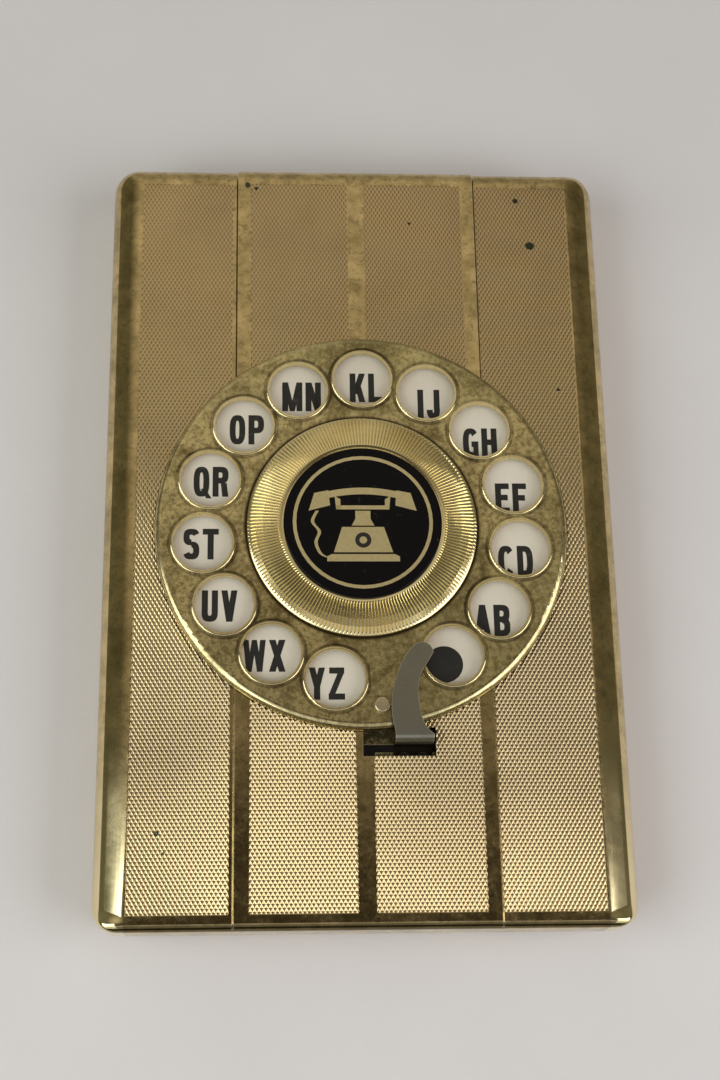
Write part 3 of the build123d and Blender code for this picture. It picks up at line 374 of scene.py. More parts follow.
def aged_brass(name, colour, dark, roughness, amount, scale=60, grime_ring=None):
    m = Nodes(name, colour, 1.0, roughness)
    mottle = m.noise(scale, 6.0, 0.62, distortion=0.6)
    fine = m.noise(scale * 7, 4.0, 0.6)
    both = m.add(m.mul(mottle, 0.7), m.mul(fine, 0.3))
    tint = m.mix(m.span(both, 0.44, 0.62, 0.0, amount), colour, dark)
    crisp = m.noise(scale * 13, 6.0, 0.8, distortion=0.3)
    tint = m.mix(m.span(crisp, 0.50, 0.58, 0.0, amount * 0.7), tint, dark)
    tint = m.mix(m.span(crisp, 0.38, 0.46, amount * 0.5, 0.0), tint, PALE_SPECK)
    # Painted highlight along the sharp edges.
    tint = m.mix(m.mul(m.edges(0.35), 0.6), tint, EDGE_HIGHLIGHT)
    rough = m.span(both, 0.3, 0.7, roughness * 0.7, roughness * 1.7)
    if grime_ring:
        tint, rough = dial_marks(m, mottle, tint, rough, grime_ring)
    return m.finish(tint, rough, m.bump(fine, 0.012))


def bright_brass():
    m = Nodes("bright_brass", (0.90, 0.80, 0.48), 1.0, 0.16)
    haze = m.noise(70, 4.0)
    tint = m.mix(m.span(haze, 0.35, 0.75), (0.92, 0.82, 0.50), (0.78, 0.63, 0.32))
    return m.finish(tint, m.span(haze, 0.3, 0.7, 0.10, 0.24), m.bump(m.noise(900, 2.0), 0.003))


def steel(name, colour, roughness, edge_light=0.6, shaded_below=None):
    m = Nodes(name, colour, 1.0, roughness)
    cloud = m.noise(110, 5.0, 0.6)
    scratch = m.noise(60, 4.0, 0.6, m.scaled(1.0, 28.0, 1.0))
    dark = tuple(channel * 0.45 for channel in colour)
    tint = m.mix(m.span(cloud, 0.4, 0.68, 0.0, 0.7), colour, dark)
    # Painted highlight along the sharp edges.
    tint = m.mix(m.mul(m.edges(0.3), edge_light), tint, STEEL_EDGE_HIGHLIGHT)
    rough = m.span(cloud, 0.3, 0.7, roughness * 0.75, roughness * 1.5)
    if shaded_below:
        # Painted shade: darker below the given height, where the part sits in the lid's slot.
        slot_shade = m.span(m.axes()[2], shaded_below + 1.1, shaded_below)
        tint = m.mix(slot_shade, tint, SLOT_SHADE)
        rough = m.add(rough, m.mul(slot_shade, 0.3))
    return m.finish(tint, rough, m.bump(scratch, 0.01))


def enamel():
    black = (0.003, 0.003, 0.004)
    m = Nodes("black_enamel", black, 0.0, 0.12)
    m.shader.inputs["Specular IOR Level"].default_value = 0.12
    dust = m.noise(800, 3.0, 0.6)
    haze = m.noise(60, 4.0)
    tint = m.mix(m.span(dust, 0.66, 0.76, 0.0, 0.5), black, (0.05, 0.048, 0.04))
    return m.finish(tint, m.span(haze, 0.3, 0.7, 0.08, 0.18), m.bump(dust, 0.002))


def card(name, colour, stain_colour, amount):
    m = Nodes(name, colour, 0.0, 0.62)
    cloud = m.noise(45, 5.0, 0.6)
    fibre = m.noise(900, 4.0, 0.7, m.scaled(1.0, 0.35, 1.0))
    tint = m.mix(m.span(cloud, 0.4, 0.75, 0.0, amount), colour, stain_colour)
    tint = m.mix(m.span(fibre, 0.35, 0.7, 0.0, 0.10), tint, stain_colour)
    return m.finish(tint, m.span(cloud, 0.3, 0.7, 0.5, 0.72), m.bump(fibre, 0.012))


def felt():
    m = Nodes("felt", (0.045, 0.10, 0.065), 0.0, 0.95)
    fuzz = m.noise(1600, 5.0, 0.75)
    cloud = m.noise(60, 3.0)
    tint = m.mix(m.span(fuzz, 0.3, 0.75), (0.022, 0.055, 0.035), (0.075, 0.15, 0.10))
    tint = m.mix(m.span(cloud, 0.4, 0.7, 0.0, 0.4), tint, (0.06, 0.09, 0.06))
    m.shader.inputs["Sheen Weight"].default_value = 0.3
    return m.finish(tint, None, m.bump(fuzz, 0.25))


def ink(name, colour):
    m = Nodes(name, colour, 0.0, 0.42)
    rub = m.noise(500, 4.0, 0.7)
    light = tuple(channel + 0.10 for channel in colour)
    tint = m.mix(m.span(rub, 0.62, 0.78, 0.0, 0.5), colour, light)
    return m.finish(tint, m.span(rub, 0.3, 0.7, 0.35, 0.55), m.bump(rub, 0.003))


MATERIALS = {
    "lid_brass": lid_brass(),
    "tray_brass": aged_brass("tray_brass", (0.72, 0.56, 0.29), (0.40, 0.29, 0.14), 0.30, 0.5, scale=30),
    "dial_brass": aged_brass("dial_brass", (0.72, 0.61, 0.32), (0.20, 0.145, 0.055), 0.24, 0.95, scale=75,
                             grime_ring=24.45),
    "bright_brass": bright_brass(),
    "plain_brass": aged_brass("plain_brass", (0.78, 0.62, 0.33), (0.50, 0.37, 0.18), 0.28, 0.4),
    "nickel": steel("nickel", (0.33, 0.315, 0.265), 0.34, edge_light=0.9, shaded_below=19.2),
    "dark_plate": card("dark_plate", (0.022, 0.020, 0.018), (0.05, 0.04, 0.03), 0.5),
    "plain_steel": steel("plain_steel", (0.56, 0.56, 0.56), 0.36),
    "spring_steel": steel("spring_steel", (0.36, 0.36, 0.38), 0.30, edge_light=0.3),
    "black_enamel": enamel(),
    "white_card": card("white_card", (0.79, 0.735, 0.65), (0.58, 0.50, 0.40), 0.45),
    "leaf_card": card("leaf_card", (0.84, 0.81, 0.72), (0.70, 0.60, 0.44), 0.4),
    "liner_card": card("liner_card", (0.06, 0.06, 0.065), (0.14, 0.13, 0.12), 0.5),
    "felt": felt(),
}
BLACK_INK = ink("black_ink", (0.014, 0.013, 0.012))
GREY_INK = ink("grey_ink", (0.20, 0.22, 0.26))
GILT = aged_brass("gilt_print", (0.86, 0.76, 0.46), (0.60, 0.47, 0.24), 0.30, 0.35, scale=90)

# Nodes that look different from their slot's material.
OWN_LOOK = {
    # Painted shade: the latch slide and the stop's rivets are dark where they show in the slot.
    "latch_slide": aged_brass("slot_shaded_brass", (0.16, 0.13, 0.06), (0.04, 0.03, 0.015), 0.4, 0.8, scale=90),
    "stop_rivets": steel("slot_shaded_steel", (0.035, 0.028, 0.02), 0.5, edge_light=0.1),
    "stop_pin": steel("pin_steel", (0.80, 0.70, 0.50), 0.24, edge_light=0.9),
}

node_slots = {part["node"]: part["material_slot"] for part in frame["record"]["subparts"]}
for node, obj in frame["nodes"].items():
    obj.data.materials.clear()
    obj.data.materials.append(OWN_LOOK.get(node) or MATERIALS[node_slots[node]])


# ------------------------------------------------------------------ outlines and pieces
LAYER = 0.00004


def box(x0, x1, y0, y1):
    return [(x0, y0), (x1, y0), (x1, y1), (x0, y1)]


def circle(cx, cy, radius, start=0.0, end=360.0, steps=48):
    angles = [math.radians(start + (end - start) * i / steps) for i in range(steps + 1)]
    return [(cx + radius * math.cos(a), cy + radius * math.sin(a)) for a in angles]


def disc(cx, cy, radius, sides=48):
    return circle(cx, cy, radius, steps=sides)[:-1]


def loop_pairs(items):
    """Each item with the next one, and the last with the first."""
    return list(zip(items, items[1:] + items[:1]))


def signed_area(points):
    """Twice the area of an outline seen from above, above 0 when it runs counter-clockwise."""
    return sum(a[0] * b[1] - b[0] * a[1] for a, b in loop_pairs(points))


def piece(name, verts, faces, material, body, smooth=False):
    mesh = bpy.data.meshes.new(name)
    mesh.from_pydata([tuple(c * MM for c in v) for v in verts], [], faces)
    mesh.validate()
    mesh.update()
    if smooth:
        mesh.shade_smooth()
    mesh.materials.append(material)
    obj = bpy.data.objects.new(name, mesh)
    bpy.context.scene.collection.objects.link(obj)
    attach(obj, body)
    return obj


class Print:
    """Flat printed shapes gathered into one mesh, each a hair above the last."""

    def __init__(self, z):
        self.z = z
        self.verts = []
        self.faces = []

    def polygon(self, points):
        start = len(self.verts)
        ordered = points if signed_area(points) > 0 else points[::-1]
        layer = self.z + LAYER * len(self.faces)
        self.verts += [(x, y, layer) for x, y in ordered]
        self.faces.append(tuple(range(start, start + len(points))))

    def strip(self, left, right):
        for a, b, c, d in zip(left, left[1:], right[1:], right):
            self.polygon([a, b, c, d])

    def make(self, name, material, body):
        return piece(name, self.verts, self.faces, material, body)


# ------------------------------------------------------------------ letters
STEM = 0.38
BAR = 0.19


def rect(x0, x1, y0, y1):
    return [box(x0, x1, y0, y1)]


def slant(x_low, x_high, y_low=0.0, y_high=1.0, width=STEM):
    half = width / 2
    return [[(x_low - half, y_low), (x_low + half, y_low), (x_high + half, y_high), (x_high - half, y_high)]]


def round_part(cx, cy, rx, ry, start, end, stem=STEM, bar=BAR, power=2.7):
    """Part of a squarish ring, thicker at its sides than at its top."""
    steps = max(4, int(abs(end - start) / 9))
    rows = []
    for index in range(steps + 1):
        angle = math.radians(start + (end - start) * index / steps)
        c, s = math.cos(angle), math.sin(angle)
        ux = math.copysign(abs(c) ** (2 / power), c)
        uy = math.copysign(abs(s) ** (2 / power), s)
        rows.append(((cx + rx * ux, cy + ry * uy), (cx + (rx - stem) * ux, cy + (ry - bar) * uy)))
    return [[a, c, d, b] for (a, b), (c, d) in zip(rows, rows[1:])]


def glyph(letter):
    """(width, polygons) of a bold condensed capital, in a cell 1 wide and 1 high."""
    s, b = STEM, BAR

    def beam(x0, x1, low):
        return rect(x0, x1, low, low + b)

    left = rect(0, s, 0, 1)
    right = rect(1 - s, 1, 0, 1)
    full = round_part(0.5, 0.5, 0.5, 0.5, 0, 360)
    short_top, short_foot = rect(s, 0.5, 1 - b, 1), rect(s, 0.5, 0, b)
    long_top, long_foot = rect(s, 0.9, 1 - b, 1), rect(s, 0.9, 0, b)
    upper = short_top + beam(s, 0.5, 0.44) + round_part(0.5, 0.72, 0.5, 0.28, -90, 90)
    lower = short_foot + beam(s, 0.5, 0.44) + round_part(0.5, 0.30, 0.52, 0.30, -90, 90)
    shapes = {
        "A": slant(s / 2, 0.5) + slant(1 - s / 2, 0.5) + rect(0.28, 0.72, 0.20, 0.20 + b * 0.9),
        "B": left + upper + lower,
        "C": round_part(0.5, 0.5, 0.5, 0.5, 38, 322),
        "D": left + rect(s, 0.45, 1 - b, 1) + rect(s, 0.45, 0, b) + round_part(0.45, 0.5, 0.55, 0.5, -90, 90),
        "E": left + long_top + beam(s, 0.8, 0.43) + long_foot,
        "F": left + long_top + beam(s, 0.8, 0.42),
        "G": round_part(0.5, 0.5, 0.5, 0.5, 38, 300) + beam(0.55, 1, 0.36) + rect(1 - s * 0.9, 1, 0, 0.42),
        "H": left + right + beam(s, 1 - s, 0.43),
        "I": rect(0, s, 0, 1),
        "J": rect(0.85 - s, 0.85, 0.3, 1) + round_part(0.425, 0.3, 0.425, 0.3, 180, 360),
        "K": left + slant(s * 0.9, 1 - s / 2, 0.28, 1, s * 1.05) + slant(1 - s / 2, 0.50, 0, 0.62, s * 1.05),
        "L": left + rect(s, 0.88, 0, b),
        "M": left + rect(1.3 - s, 1.3, 0, 1) + slant(0.65, s * 0.55, 0.0, 1, s * 0.85)
             + slant(0.65, 1.3 - s * 0.55, 0.0, 1, s * 0.85),
        "N": left + right + slant(1 - s * 0.55, s * 0.55, 0, 1, s * 0.95),
        "O": full,
        "P": left + short_top + beam(s, 0.5, 0.38) + round_part(0.5, 0.69, 0.5, 0.31, -90, 90),
        "Q": full + slant(0.98, 0.60, -0.06, 0.26, s * 0.85),
        "R": left + upper + slant(1 - s / 2, 0.70, 0, 0.46, s),
        "S": round_part(0.5, 0.73, 0.5, 0.27, 20, 270) + round_part(0.5, 0.29, 0.5, 0.29, 90, -160),
        "T": rect(0.5 - s / 2, 0.5 + s / 2, 0, 1) + rect(0, 1, 1 - b, 1),
        "U": rect(0, s, 0.3, 1) + rect(1 - s, 1, 0.3, 1) + round_part(0.5, 0.3, 0.5, 0.3, 180, 360),
        "V": slant(0.5, s / 2) + slant(0.5, 1 - s / 2),
        "W": slant(0.38, s * 0.45, 0, 1, s * 0.9) + slant(0.38, 0.70, 0, 1, s * 0.8)
             + slant(1.02, 0.70, 0, 1, s * 0.8) + slant(1.02, 1.4 - s * 0.45, 0, 1, s * 0.9),
        "X": slant(s / 2, 1 - s / 2, 0, 1, s * 1.05) + slant(1 - s / 2, s / 2, 0, 1, s * 1.05),
        "Y": rect(0.5 - s / 2, 0.5 + s / 2, 0, 0.5) + slant(0.5, s / 2, 0.4, 1)
             + slant(0.5, 1 - s / 2, 0.4, 1),
        "Z": rect(0.05, 0.97, 1 - b, 1) + rect(0, 1, 0, b)
             + slant(s * 0.55, 0.95 - s * 0.5, b * 0.9, 1 - b * 0.9, s),
    }
    widths = {"I": s, "J": 0.85, "L": 0.88, "E": 0.9, "F": 0.9, "M": 1.3, "W": 1.4}
    return widths.get(letter, 1.0), shapes[letter]


def letters(sheet, text, centre, width, height, gap):
    """Letters side by side, upright, centred at a place; width is one letter's."""
    parts = [glyph(letter) for letter in text]
    total = sum(part[0] for part in parts) * width + gap * (len(parts) - 1)
    x = centre[0] - total / 2
    for unit, polygons in parts:
        for polygon in polygons:
            sheet.polygon([(x + px * width, centre[1] + (py - 0.5) * height) for px, py in polygon])
        x += unit * width + gap


# ------------------------------------------------------------------ card under the finger holes
CARD_TURN = -2.3
CARD_SHIFT = (-0.5, -1.1)
CARD_RADIUS = 33.6
DOT_PLACE, DOT_RADIUS = (16.6, -32.1), 3.9

card_print = Print(CARD_TOP + 0.02)
for index, name in enumerate(LEAF_NAMES):
    angle = math.radians(FIRST_HOLE + HOLE_STEP * (index + 1) + CARD_TURN)
    centre = (CARD_SHIFT[0] + CARD_RADIUS * math.cos(angle),
              CARD_SHIFT[1] + DIAL_Y + CARD_RADIUS * math.sin(angle))
    letters(card_print, name.upper(), centre, width=3.35, height=6.8, gap=0.7)
card_print.polygon(disc(*DOT_PLACE, DOT_RADIUS, sides=72))
card_print.make("card_letters", BLACK_INK, "lid")


# ------------------------------------------------------------------ leaves: rules and tab letters
LEAF_TOP = 12.45
LEAF_PITCH = 0.6
TAB_LEFT, TAB_Y = -50, -77.6
TAB_PITCH = 98.5 / 13
RULES, FIRST_RULE, RULE_STEP, RULE_WIDTH = 18, 48.0, 6.8, 0.18
RULE_ENDS = (-44, 43)
MARGIN_SIDES, MARGIN_ENDS = (8, 8.25), (-72, 54)

for index, name in enumerate(LEAF_NAMES):
    top = LEAF_TOP - index * LEAF_PITCH + 0.01
    rules = Print(top)
    for line in range(RULES):
        y = FIRST_RULE - line * RULE_STEP
        rules.polygon(box(*RULE_ENDS, y, y + RULE_WIDTH))
    rules.polygon(box(*MARGIN_SIDES, *MARGIN_ENDS))
    rules.make("rules_" + name, GREY_INK, "leaf_" + name)
    tab = Print(top)
    tab_centre = (TAB_LEFT + (index + 0.5) * TAB_PITCH, TAB_Y)
    letters(tab, name.upper(), tab_centre, width=1.7, height=3.0, gap=0.45)
    tab.make("tab_" + name, BLACK_INK, "leaf_" + name)


# ------------------------------------------------------------------ hub: reeded ring and emblem
REEDS, REED_DEPTH = 188, 0.20
SEAT_RADIUS, SEAT_Z, SEAT_SIDES = 17.05, 22.05, 64
# Radius, height and share of the reeds' depth, from the seat outwards.
RING_PROFILE = [(SEAT_RADIUS, 22.0, 0), (SEAT_RADIUS, 22.60, 0), (17.45, 22.66, 0), (17.9, 22.58, 1),
                (19.4, 22.30, 1), (21.0, 21.96, 1), (22.6, 21.57, 1), (23.6, 21.26, 1), (24.0, 21.10, 0.2),
                (24.3, 20.90, 0), (24.4, 20.70, 0), (24.4, 20.32, 0), (23.8, 20.32, 0)]


def reeded_ring():
    """Domed ring with radial reeds, in place of the plain hub cap."""
    # Each reed takes four steps around, with its valley at the third.
    around = REEDS * 4
    verts = []
    for step in range(around):
        angle = 2 * math.pi * step / around
        valley = 1.0 if step % 4 == 2 else 0.0
        for radius, z, share in RING_PROFILE:
            drop = REED_DEPTH * share * valley
            verts.append((radius * math.cos(angle), DIAL_Y + radius * math.sin(angle), z - drop))
    count = len(RING_PROFILE)
    faces = []
    for step in range(around):
        for row in range(count - 1):
            here, there = step * count + row, (step + 1) % around * count + row
            faces.append((here + 1, there + 1, there, here))
    floor = len(verts)
    verts += [(x, y, SEAT_Z) for x, y in disc(0, DIAL_Y, SEAT_RADIUS, SEAT_SIDES)]
    faces.append(tuple(range(floor, floor + SEAT_SIDES)))
    ring = piece("hub_ring_reeded", verts, faces, MATERIALS["bright_brass"], "dial")
    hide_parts("hub_cap")


# The pictogram's desk telephone, from its foot up; PRONG and CUP are drawn on both sides.
TELEPHONE_Y = DIAL_Y - 0.6
FOOT = [(-7.6, -8.2), (7.6, -8.2), (7.6, -7.1), (6.6, -6.6), (-6.6, -6.6), (-7.6, -7.1)]
BODY = [(-6.2, -6.2), (6.2, -6.2), (4.4, -0.6), (-4.4, -0.6)]
POST = [(-2.4, -0.3), (2.4, -0.3), (1.6, 1.2), (1.6, 3.0), (-1.6, 3.0), (-1.6, 1.2)]
CRADLE = [(-5.6, 3.3), (5.6, 3.3), (5.6, 4.2), (-5.6, 4.2)]
PRONG = [(5.6, 3.3), (4.7, 3.3), (4.7, 5.6), (5.9, 6.3)]
CUP = [(7.2, 7.6), (10.2, 7.0), (11.4, 3.0), (6.9, 4.2)]
CORD = [(-9.6, 3.0), (-10.6, 0.6), (-9.2, -1.6), (-9.9, -4.0), (-9.0, -6.4), (-7.4, -7.4)]
CORD_HALF = 0.35
HANDSET_Y, HANDSET_RADII, HANDSET_ANGLES = -24.2, (32.4, 30.9), (105.5, 74.5)
RING_RADII = (14.75, 14.0)
WINDOW_Y = -3.5


def curve_between(a, b, c, d, t):
    """A coordinate of the smooth curve through four points, a share t of the way from b to c."""
    linear = (c - a) * t
    square = (2 * a - 5 * b + 4 * c - d) * t * t
    cube = (3 * b - a - 3 * c + d) * t ** 3
    return 0.5 * (2 * b + linear + square + cube)


def smooth_path(points, steps):
    dense = []
    before, after = points[:1] + points, points[2:] + points[-1:]
    for corners in zip(before, points, points[1:], after):
        for step in range(steps):
            dense.append(tuple(curve_between(*axis, step / steps) for axis in zip(*corners)))
    return dense


def emblem():
    """Gilt ring and a plain pictogram of a desk telephone: base, cradle, handset and cord."""
    art = Print(EMBLEM_TOP + 0.02)
    art.strip(*[circle(0, DIAL_Y, radius) for radius in RING_RADII])

    def moved(points, side=1):
        return [(side * x, TELEPHONE_Y + y) for x, y in points]

    for outline in (FOOT, BODY, POST, CRADLE):
        art.polygon(moved(outline))
    for side in (-1, 1):
        art.polygon(moved(PRONG, side))
    art.strip(*[moved(circle(0, HANDSET_Y, radius, *HANDSET_ANGLES, 24)) for radius in HANDSET_RADII])
    for side in (-1, 1):
        art.polygon(moved(CUP, side))
    cord = moved(smooth_path(CORD, 6))
    art.strip([(x - CORD_HALF, y) for x, y in cord], [(x + CORD_HALF, y) for x, y in cord])
    art.make("emblem_print", GILT, "dial")
    for name, lift, radius, material in (("emblem_window", 0.03, 1.7, BLACK_INK),
                                         ("emblem_window_hub", 0.04, 0.8, GILT)):
        spot = Print(EMBLEM_TOP + lift)
        spot.polygon(disc(0, TELEPHONE_Y + WINDOW_Y, radius))
        spot.make(name, material, "dial")


# ------------------------------------------------------------------ lid shell with pillowed corners
ROLL_STEPS = 14
SKIRT_STEPS = [1.34, 1.67, 2.0]
CORNER_STEPS = 8
SIDE_PLACES = (-60, -30, 0, 30, 60)
SHARP_ANGLE = 24


def plateau_halves(wall):
    """Half widths of the raised panel's top and foot, on the outer skin or a wall's thickness below it."""
    return PLATEAU_TOP_HALF - wall / 2, PLATEAU_FOOT_HALF - wall / 2


def raised(x, wall):
    top, foot = plateau_halves(wall)
    share = (foot - abs(x)) / (foot - top)
    return PLATEAU_RISE * min(1.0, max(0.0, share))


def shell_ring(t, wall):
    """Closed contour of the lid's outer skin (wall 0) or inner one.

    t is 0 at the flat top's edge, 1 where the sides have rolled down and 2 at the skirt's end.
    """
    bend, down = min(t, 1.0), max(0.0, t - 1.0)
    sine, cosine = math.sin(bend * math.pi / 2), math.cos(bend * math.pi / 2)
    crease = math.radians(SIDE_CREASE)
    roll = math.radians(SIDE_CREASE + (90 - SIDE_CREASE) * bend)
    across = (HALF_WIDTH - SIDE_START) / (1 - math.sin(crease))
    drop = SIDE_DROP / math.cos(crease)
    side_x = HALF_WIDTH - across + (across - wall) * math.sin(roll)
    side_z = PANEL_TOP - SIDE_DROP + (drop - wall) * math.cos(roll)
    side_z += (SKIRT_LOW - side_z) * down
    front = FRONT_Y + FRONT_ROUND - (FRONT_ROUND - wall) * sine
    front_z = PANEL_TOP - FRONT_ROUND + (FRONT_ROUND - wall) * cosine
    front_z += (SKIRT_LOW - front_z) * down
    turn = math.radians(90 - 90 * bend - WRAP * down)
    rear = AXIS_Y + (REAR_ROUND - wall) * math.cos(turn)
    rear_z = AXIS_Z + (REAR_ROUND - wall) * math.sin(turn)
    corner = PLAN_CORNER - wall * bend - (PLAN_CORNER - TOP_CORNER) * (1 - sine)
    top_half, foot_half = plateau_halves(wall)
    folds = (-foot_half, -top_half, top_half, foot_half)
    points = []

    def put(x, y, z):
        points.append((x, y, z + raised(x, wall) * (1 - down)))

    def turn_corner(side, end, inward, end_z, from_side):
        for step in range(CORNER_STEPS + 1):
            angle = math.radians(90 * step / CORNER_STEPS)
            u, v = math.cos(angle), math.sin(angle)
            if not from_side:
                u, v = v, u
            share = v * v * (3 - 2 * v) if v < 1 else 1.0
            x = side * (side_x - corner * (1 - u))
            y = end + inward * corner * (1 - v)
            low = side_z
            if down and inward < 0:
                low = max(side_z, side_z + down * (y - AXIS_Y + TAIL_BACK) * TAIL_SLOPE)
            put(x, y, low + (end_z - low) * share)

    turn_corner(1, front, 1, front_z, False)
    for y in SIDE_PLACES:
        put(side_x, y, side_z)
    turn_corner(1, rear, -1, rear_z, True)
    for x in reversed(folds):
        put(x, rear, rear_z)
    turn_corner(-1, rear, -1, rear_z, False)
    for y in reversed(SIDE_PLACES):
        put(-side_x, y, side_z)
    turn_corner(-1, front, 1, front_z, True)
    for x in folds:
        put(x, front, front_z)
    return points


def top_skin(rim, wall):
    """Flat top inside a rim, with the plateau's folds, the stop's slot and the bush hole."""
    flat = [Vector((x, y)) for x, y, z in rim]
    count = len(flat)
    edges = loop_pairs(list(range(count)))
    folds = {}
    for index, (x, y, z) in enumerate(rim):
        if min(abs(abs(x) - half) for half in plateau_halves(wall)) < 0.001:
            folds.setdefault(round(x, 3), []).append(index)
    edges += [tuple(pair) for pair in folds.values()]
    holes = []
    for outline in (box(*SLOT_X, *SLOT_Y), disc(0, DIAL_Y, BUSH_HOLE, 24)):
        hole = list(range(len(flat), len(flat) + len(outline)))
        flat += [Vector(point) for point in outline]
        edges += loop_pairs(hole)
        holes.append(hole)
    out, _, faces, origin, _, _ = delaunay_2d_cdt(flat, edges, [], 0, 1e-4)
    verts = [(p.x, p.y, PANEL_TOP - wall + raised(p.x, wall)) for p in out]
    place = {source: index for index, sources in enumerate(origin) for source in sources}
    loops = [[place[i] for i in hole] for hole in holes]
    # A face inside a hole has all its corners on that hole.
    kept = [tuple(face) for face in faces if not any(set(face) <= set(loop) for loop in loops)]
    return verts, kept, [place[i] for i in range(count)], loops


def stitch(first, second, flip=False):
    """Four-sided faces between two loops of the same length."""
    quads = [(a, c, d, b) for (a, b), (c, d) in zip(loop_pairs(first), loop_pairs(second))]
    return [quad[::-1] for quad in quads] if flip else quads


def lid_shell():
    """The lid's two skins, joined at the skirt's end and around the holes."""
    steps = [i / ROLL_STEPS for i in range(ROLL_STEPS + 1)] + SKIRT_STEPS
    verts, faces, skirt_ends, cuts = [], [], [], []
    for wall in (0.0, WALL):
        flip = wall > 0
        rings = [shell_ring(t, wall) for t in steps]
        skin, flats, rim, loops = top_skin(rings[0], wall)
        base = len(verts)
        verts += skin
        for face in flats:
            order = tuple(base + i for i in face)
            upward = signed_area([skin[i] for i in face]) > 0
            faces.append(order if upward != flip else order[::-1])
        previous = [base + i for i in rim]
        for ring in rings[1:]:
            current = list(range(len(verts), len(verts) + len(ring)))
            verts += ring
            faces += stitch(previous, current, flip)
            previous = current
        skirt_ends.append(previous)
        cuts.append([[base + i for i in loop] for loop in loops])
    faces += stitch(*skirt_ends)
    for outer, inner in zip(*cuts):
        faces += stitch(outer, inner, True)
    shell = piece("lid_shell_rounded", verts, faces, MATERIALS["lid_brass"], "lid", True)
    shell.data.set_sharp_from_angle(angle=math.radians(SHARP_ANGLE))
    for edge in shell.data.edges:
        tips = [shell.data.vertices[i].co for i in edge.vertices]
        if all(abs(abs(tip.x) - SIDE_START * MM) < 1e-5 and tip.z > (PANEL_TOP - 0.1) * MM for tip in tips):
            edge.use_edge_sharp = True
    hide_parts("lid_shell")


reeded_ring()
emblem()
lid_shell()


# ------------------------------------------------------------------ floor, light and camera
BACKDROP = (0.56, 0.54, 0.53)
FLOOR, FLOOR_PALE = (0.76, 0.735, 0.77), (0.80, 0.78, 0.81)
FLOOR_REACH = 6.0
# Over this distance, in mm, the lamps' light on the floor gives way to the backdrop's tone.
LAMP_REACH = (300, 1300)
# The room that reflections see: the far wall by depth and from side to side, and the rest by height.
WALL_BY_DEPTH = ((0.12, (0, 0, 0)), (0.26, (0.30, 0.26, 0.19)), (0.38, (0.46, 0.41, 0.32)),
                 (0.62, (0.46, 0.42, 0.34)), (0.90, (0.30, 0.28, 0.24)))
WALL_BY_SIDE = ((0.16, (0.12, 0.13, 0.11)), (0.27, (1, 1, 1)), (0.56, (1, 1, 1)),
                (0.68, (0.42, 0.40, 0.38)), (0.85, (0.10, 0.10, 0.09)))
ROOM_BY_HEIGHT = ((0.0, (0.105, 0.10, 0.065)), (0.55, (0.085, 0.08, 0.05)),
                  (0.90, (0.10, 0.09, 0.06)), (0.99, (0.06, 0.05, 0.035)))
WINDOW_AIM = (0, -0.06, 0.01)
CAMERA_PLACE = (-0.020475, -0.122355, 0.36319)
CAMERA_TURN = (18.856, -2.998, -0.965)


def stage_floor():
    mesh = bpy.data.meshes.new("floor")
    corners = box(-FLOOR_REACH, FLOOR_REACH, -FLOOR_REACH, FLOOR_REACH)
    mesh.from_pydata([(x, y, 0) for x, y in corners], [], [(0, 1, 2, 3)])
    obj = bpy.data.objects.new("floor", mesh)
    bpy.context.scene.collection.objects.link(obj)
    m = Nodes("floor", FLOOR, 0.0, 0.9)
    tint = m.mix(m.span(m.noise(14, 3.0), 0.3, 0.7), FLOOR, FLOOR_PALE)
    x, y, _ = m.axes()
    m.link(BACKDROP, m.shader.inputs["Emission Color"])
    m.link(m.span(m.length(x, y), *LAMP_REACH, 0.0, 0.9, True), m.shader.inputs["Emission Strength"])
    mesh.materials.append(m.finish(tint, None, m.bump(m.noise(900, 3.0, 0.6), 0.05)))


def area(name, place, aim, size, power, colour=(1, 1, 1), roll=0.0):
    lamp = bpy.data.lights.new(name, "AREA")
    lamp.shape = "RECTANGLE"
    lamp.size, lamp.size_y = size
    lamp.energy = power
    lamp.color = colour
    obj = bpy.data.objects.new(name, lamp)
    obj.location = place
    turn = (Vector(aim) - Vector(place)).to_track_quat("-Z", "Y")
    obj.rotation_euler = (turn @ Quaternion((0, 0, 1), math.radians(roll))).to_euler()
    bpy.context.scene.collection.objects.link(obj)


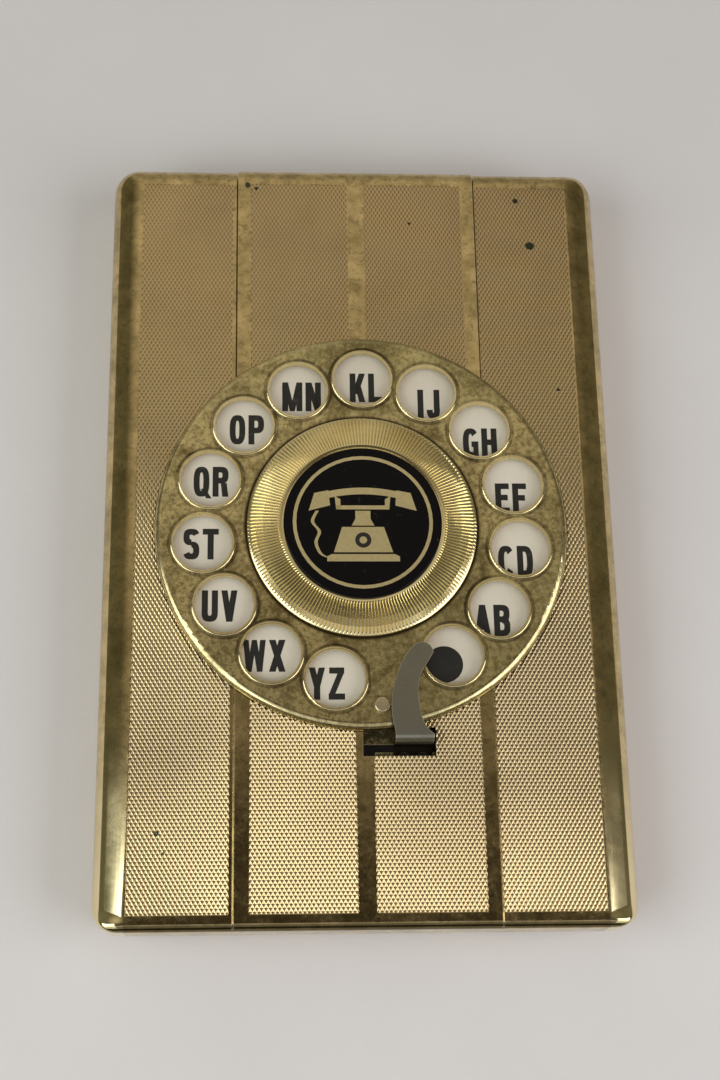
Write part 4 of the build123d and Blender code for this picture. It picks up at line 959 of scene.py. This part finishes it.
def world():
    """A dim room with a bright wall beyond the hinge end."""
    scene_world = bpy.data.worlds.new("studio")
    bpy.context.scene.world = scene_world
    scene_world.use_nodes = True
    tree = scene_world.node_tree
    back = tree.nodes["Background"]
    place = tree.nodes.new("ShaderNodeTexCoord")
    split = tree.nodes.new("ShaderNodeSeparateXYZ")
    tree.links.new(place.outputs["Generated"], split.inputs[0])

    def ramp(source, stops):
        node = tree.nodes.new("ShaderNodeValToRGB")
        tree.links.new(source, node.inputs[0])
        first, last = node.color_ramp.elements
        first.position, first.color = stops[0][0], (*stops[0][1], 1)
        last.position, last.color = stops[-1][0], (*stops[-1][1], 1)
        for position, colour in stops[1:-1]:
            node.color_ramp.elements.new(position).color = (*colour, 1)
        return node.outputs[0]

    side = tree.nodes.new("ShaderNodeMapRange")
    side.inputs["From Min"].default_value = -1.0
    tree.links.new(split.outputs["X"], side.inputs["Value"])
    wall = ramp(split.outputs["Y"], WALL_BY_DEPTH)
    wall = mix_colours(tree, 1.0, wall, ramp(side.outputs[0], WALL_BY_SIDE), "MULTIPLY")
    room = ramp(split.outputs["Z"], ROOM_BY_HEIGHT)
    total = mix_colours(tree, 1.0, wall, room, "ADD")
    # Seen straight on, the backdrop is plain and pale; only reflections see the room.
    rays = tree.nodes.new("ShaderNodeLightPath")
    seen = mix_colours(tree, rays.outputs["Is Camera Ray"], total, BACKDROP)
    tree.links.new(seen, back.inputs["Color"])
    back.inputs["Strength"].default_value = 1.0


stage_floor()
world()
area("key", (0.0, -0.56, 0.80), (0, -0.02, 0.02), size=(1.2, 0.8), power=1.7)
area("left_window", (-0.66, -0.30, 0.56), WINDOW_AIM, size=(0.80, 0.68), power=4.2,
     colour=(0.95, 1.0, 0.96), roll=-12)
area("right_window", (0.70, -0.29, 0.50), WINDOW_AIM, size=(0.72, 0.68), power=3.95,
     colour=(1.0, 0.98, 0.96), roll=12)

camera = bpy.data.cameras.new("camera")
camera.lens = 57.35
camera.sensor_width = 36.0
camera.clip_start = 0.01
view = bpy.data.objects.new("camera", camera)
view.location = CAMERA_PLACE
view.rotation_euler = tuple(math.radians(a) for a in CAMERA_TURN)
bpy.context.scene.collection.objects.link(view)
bpy.context.scene.camera = view
bpy.context.scene.view_settings.view_transform = "Standard"
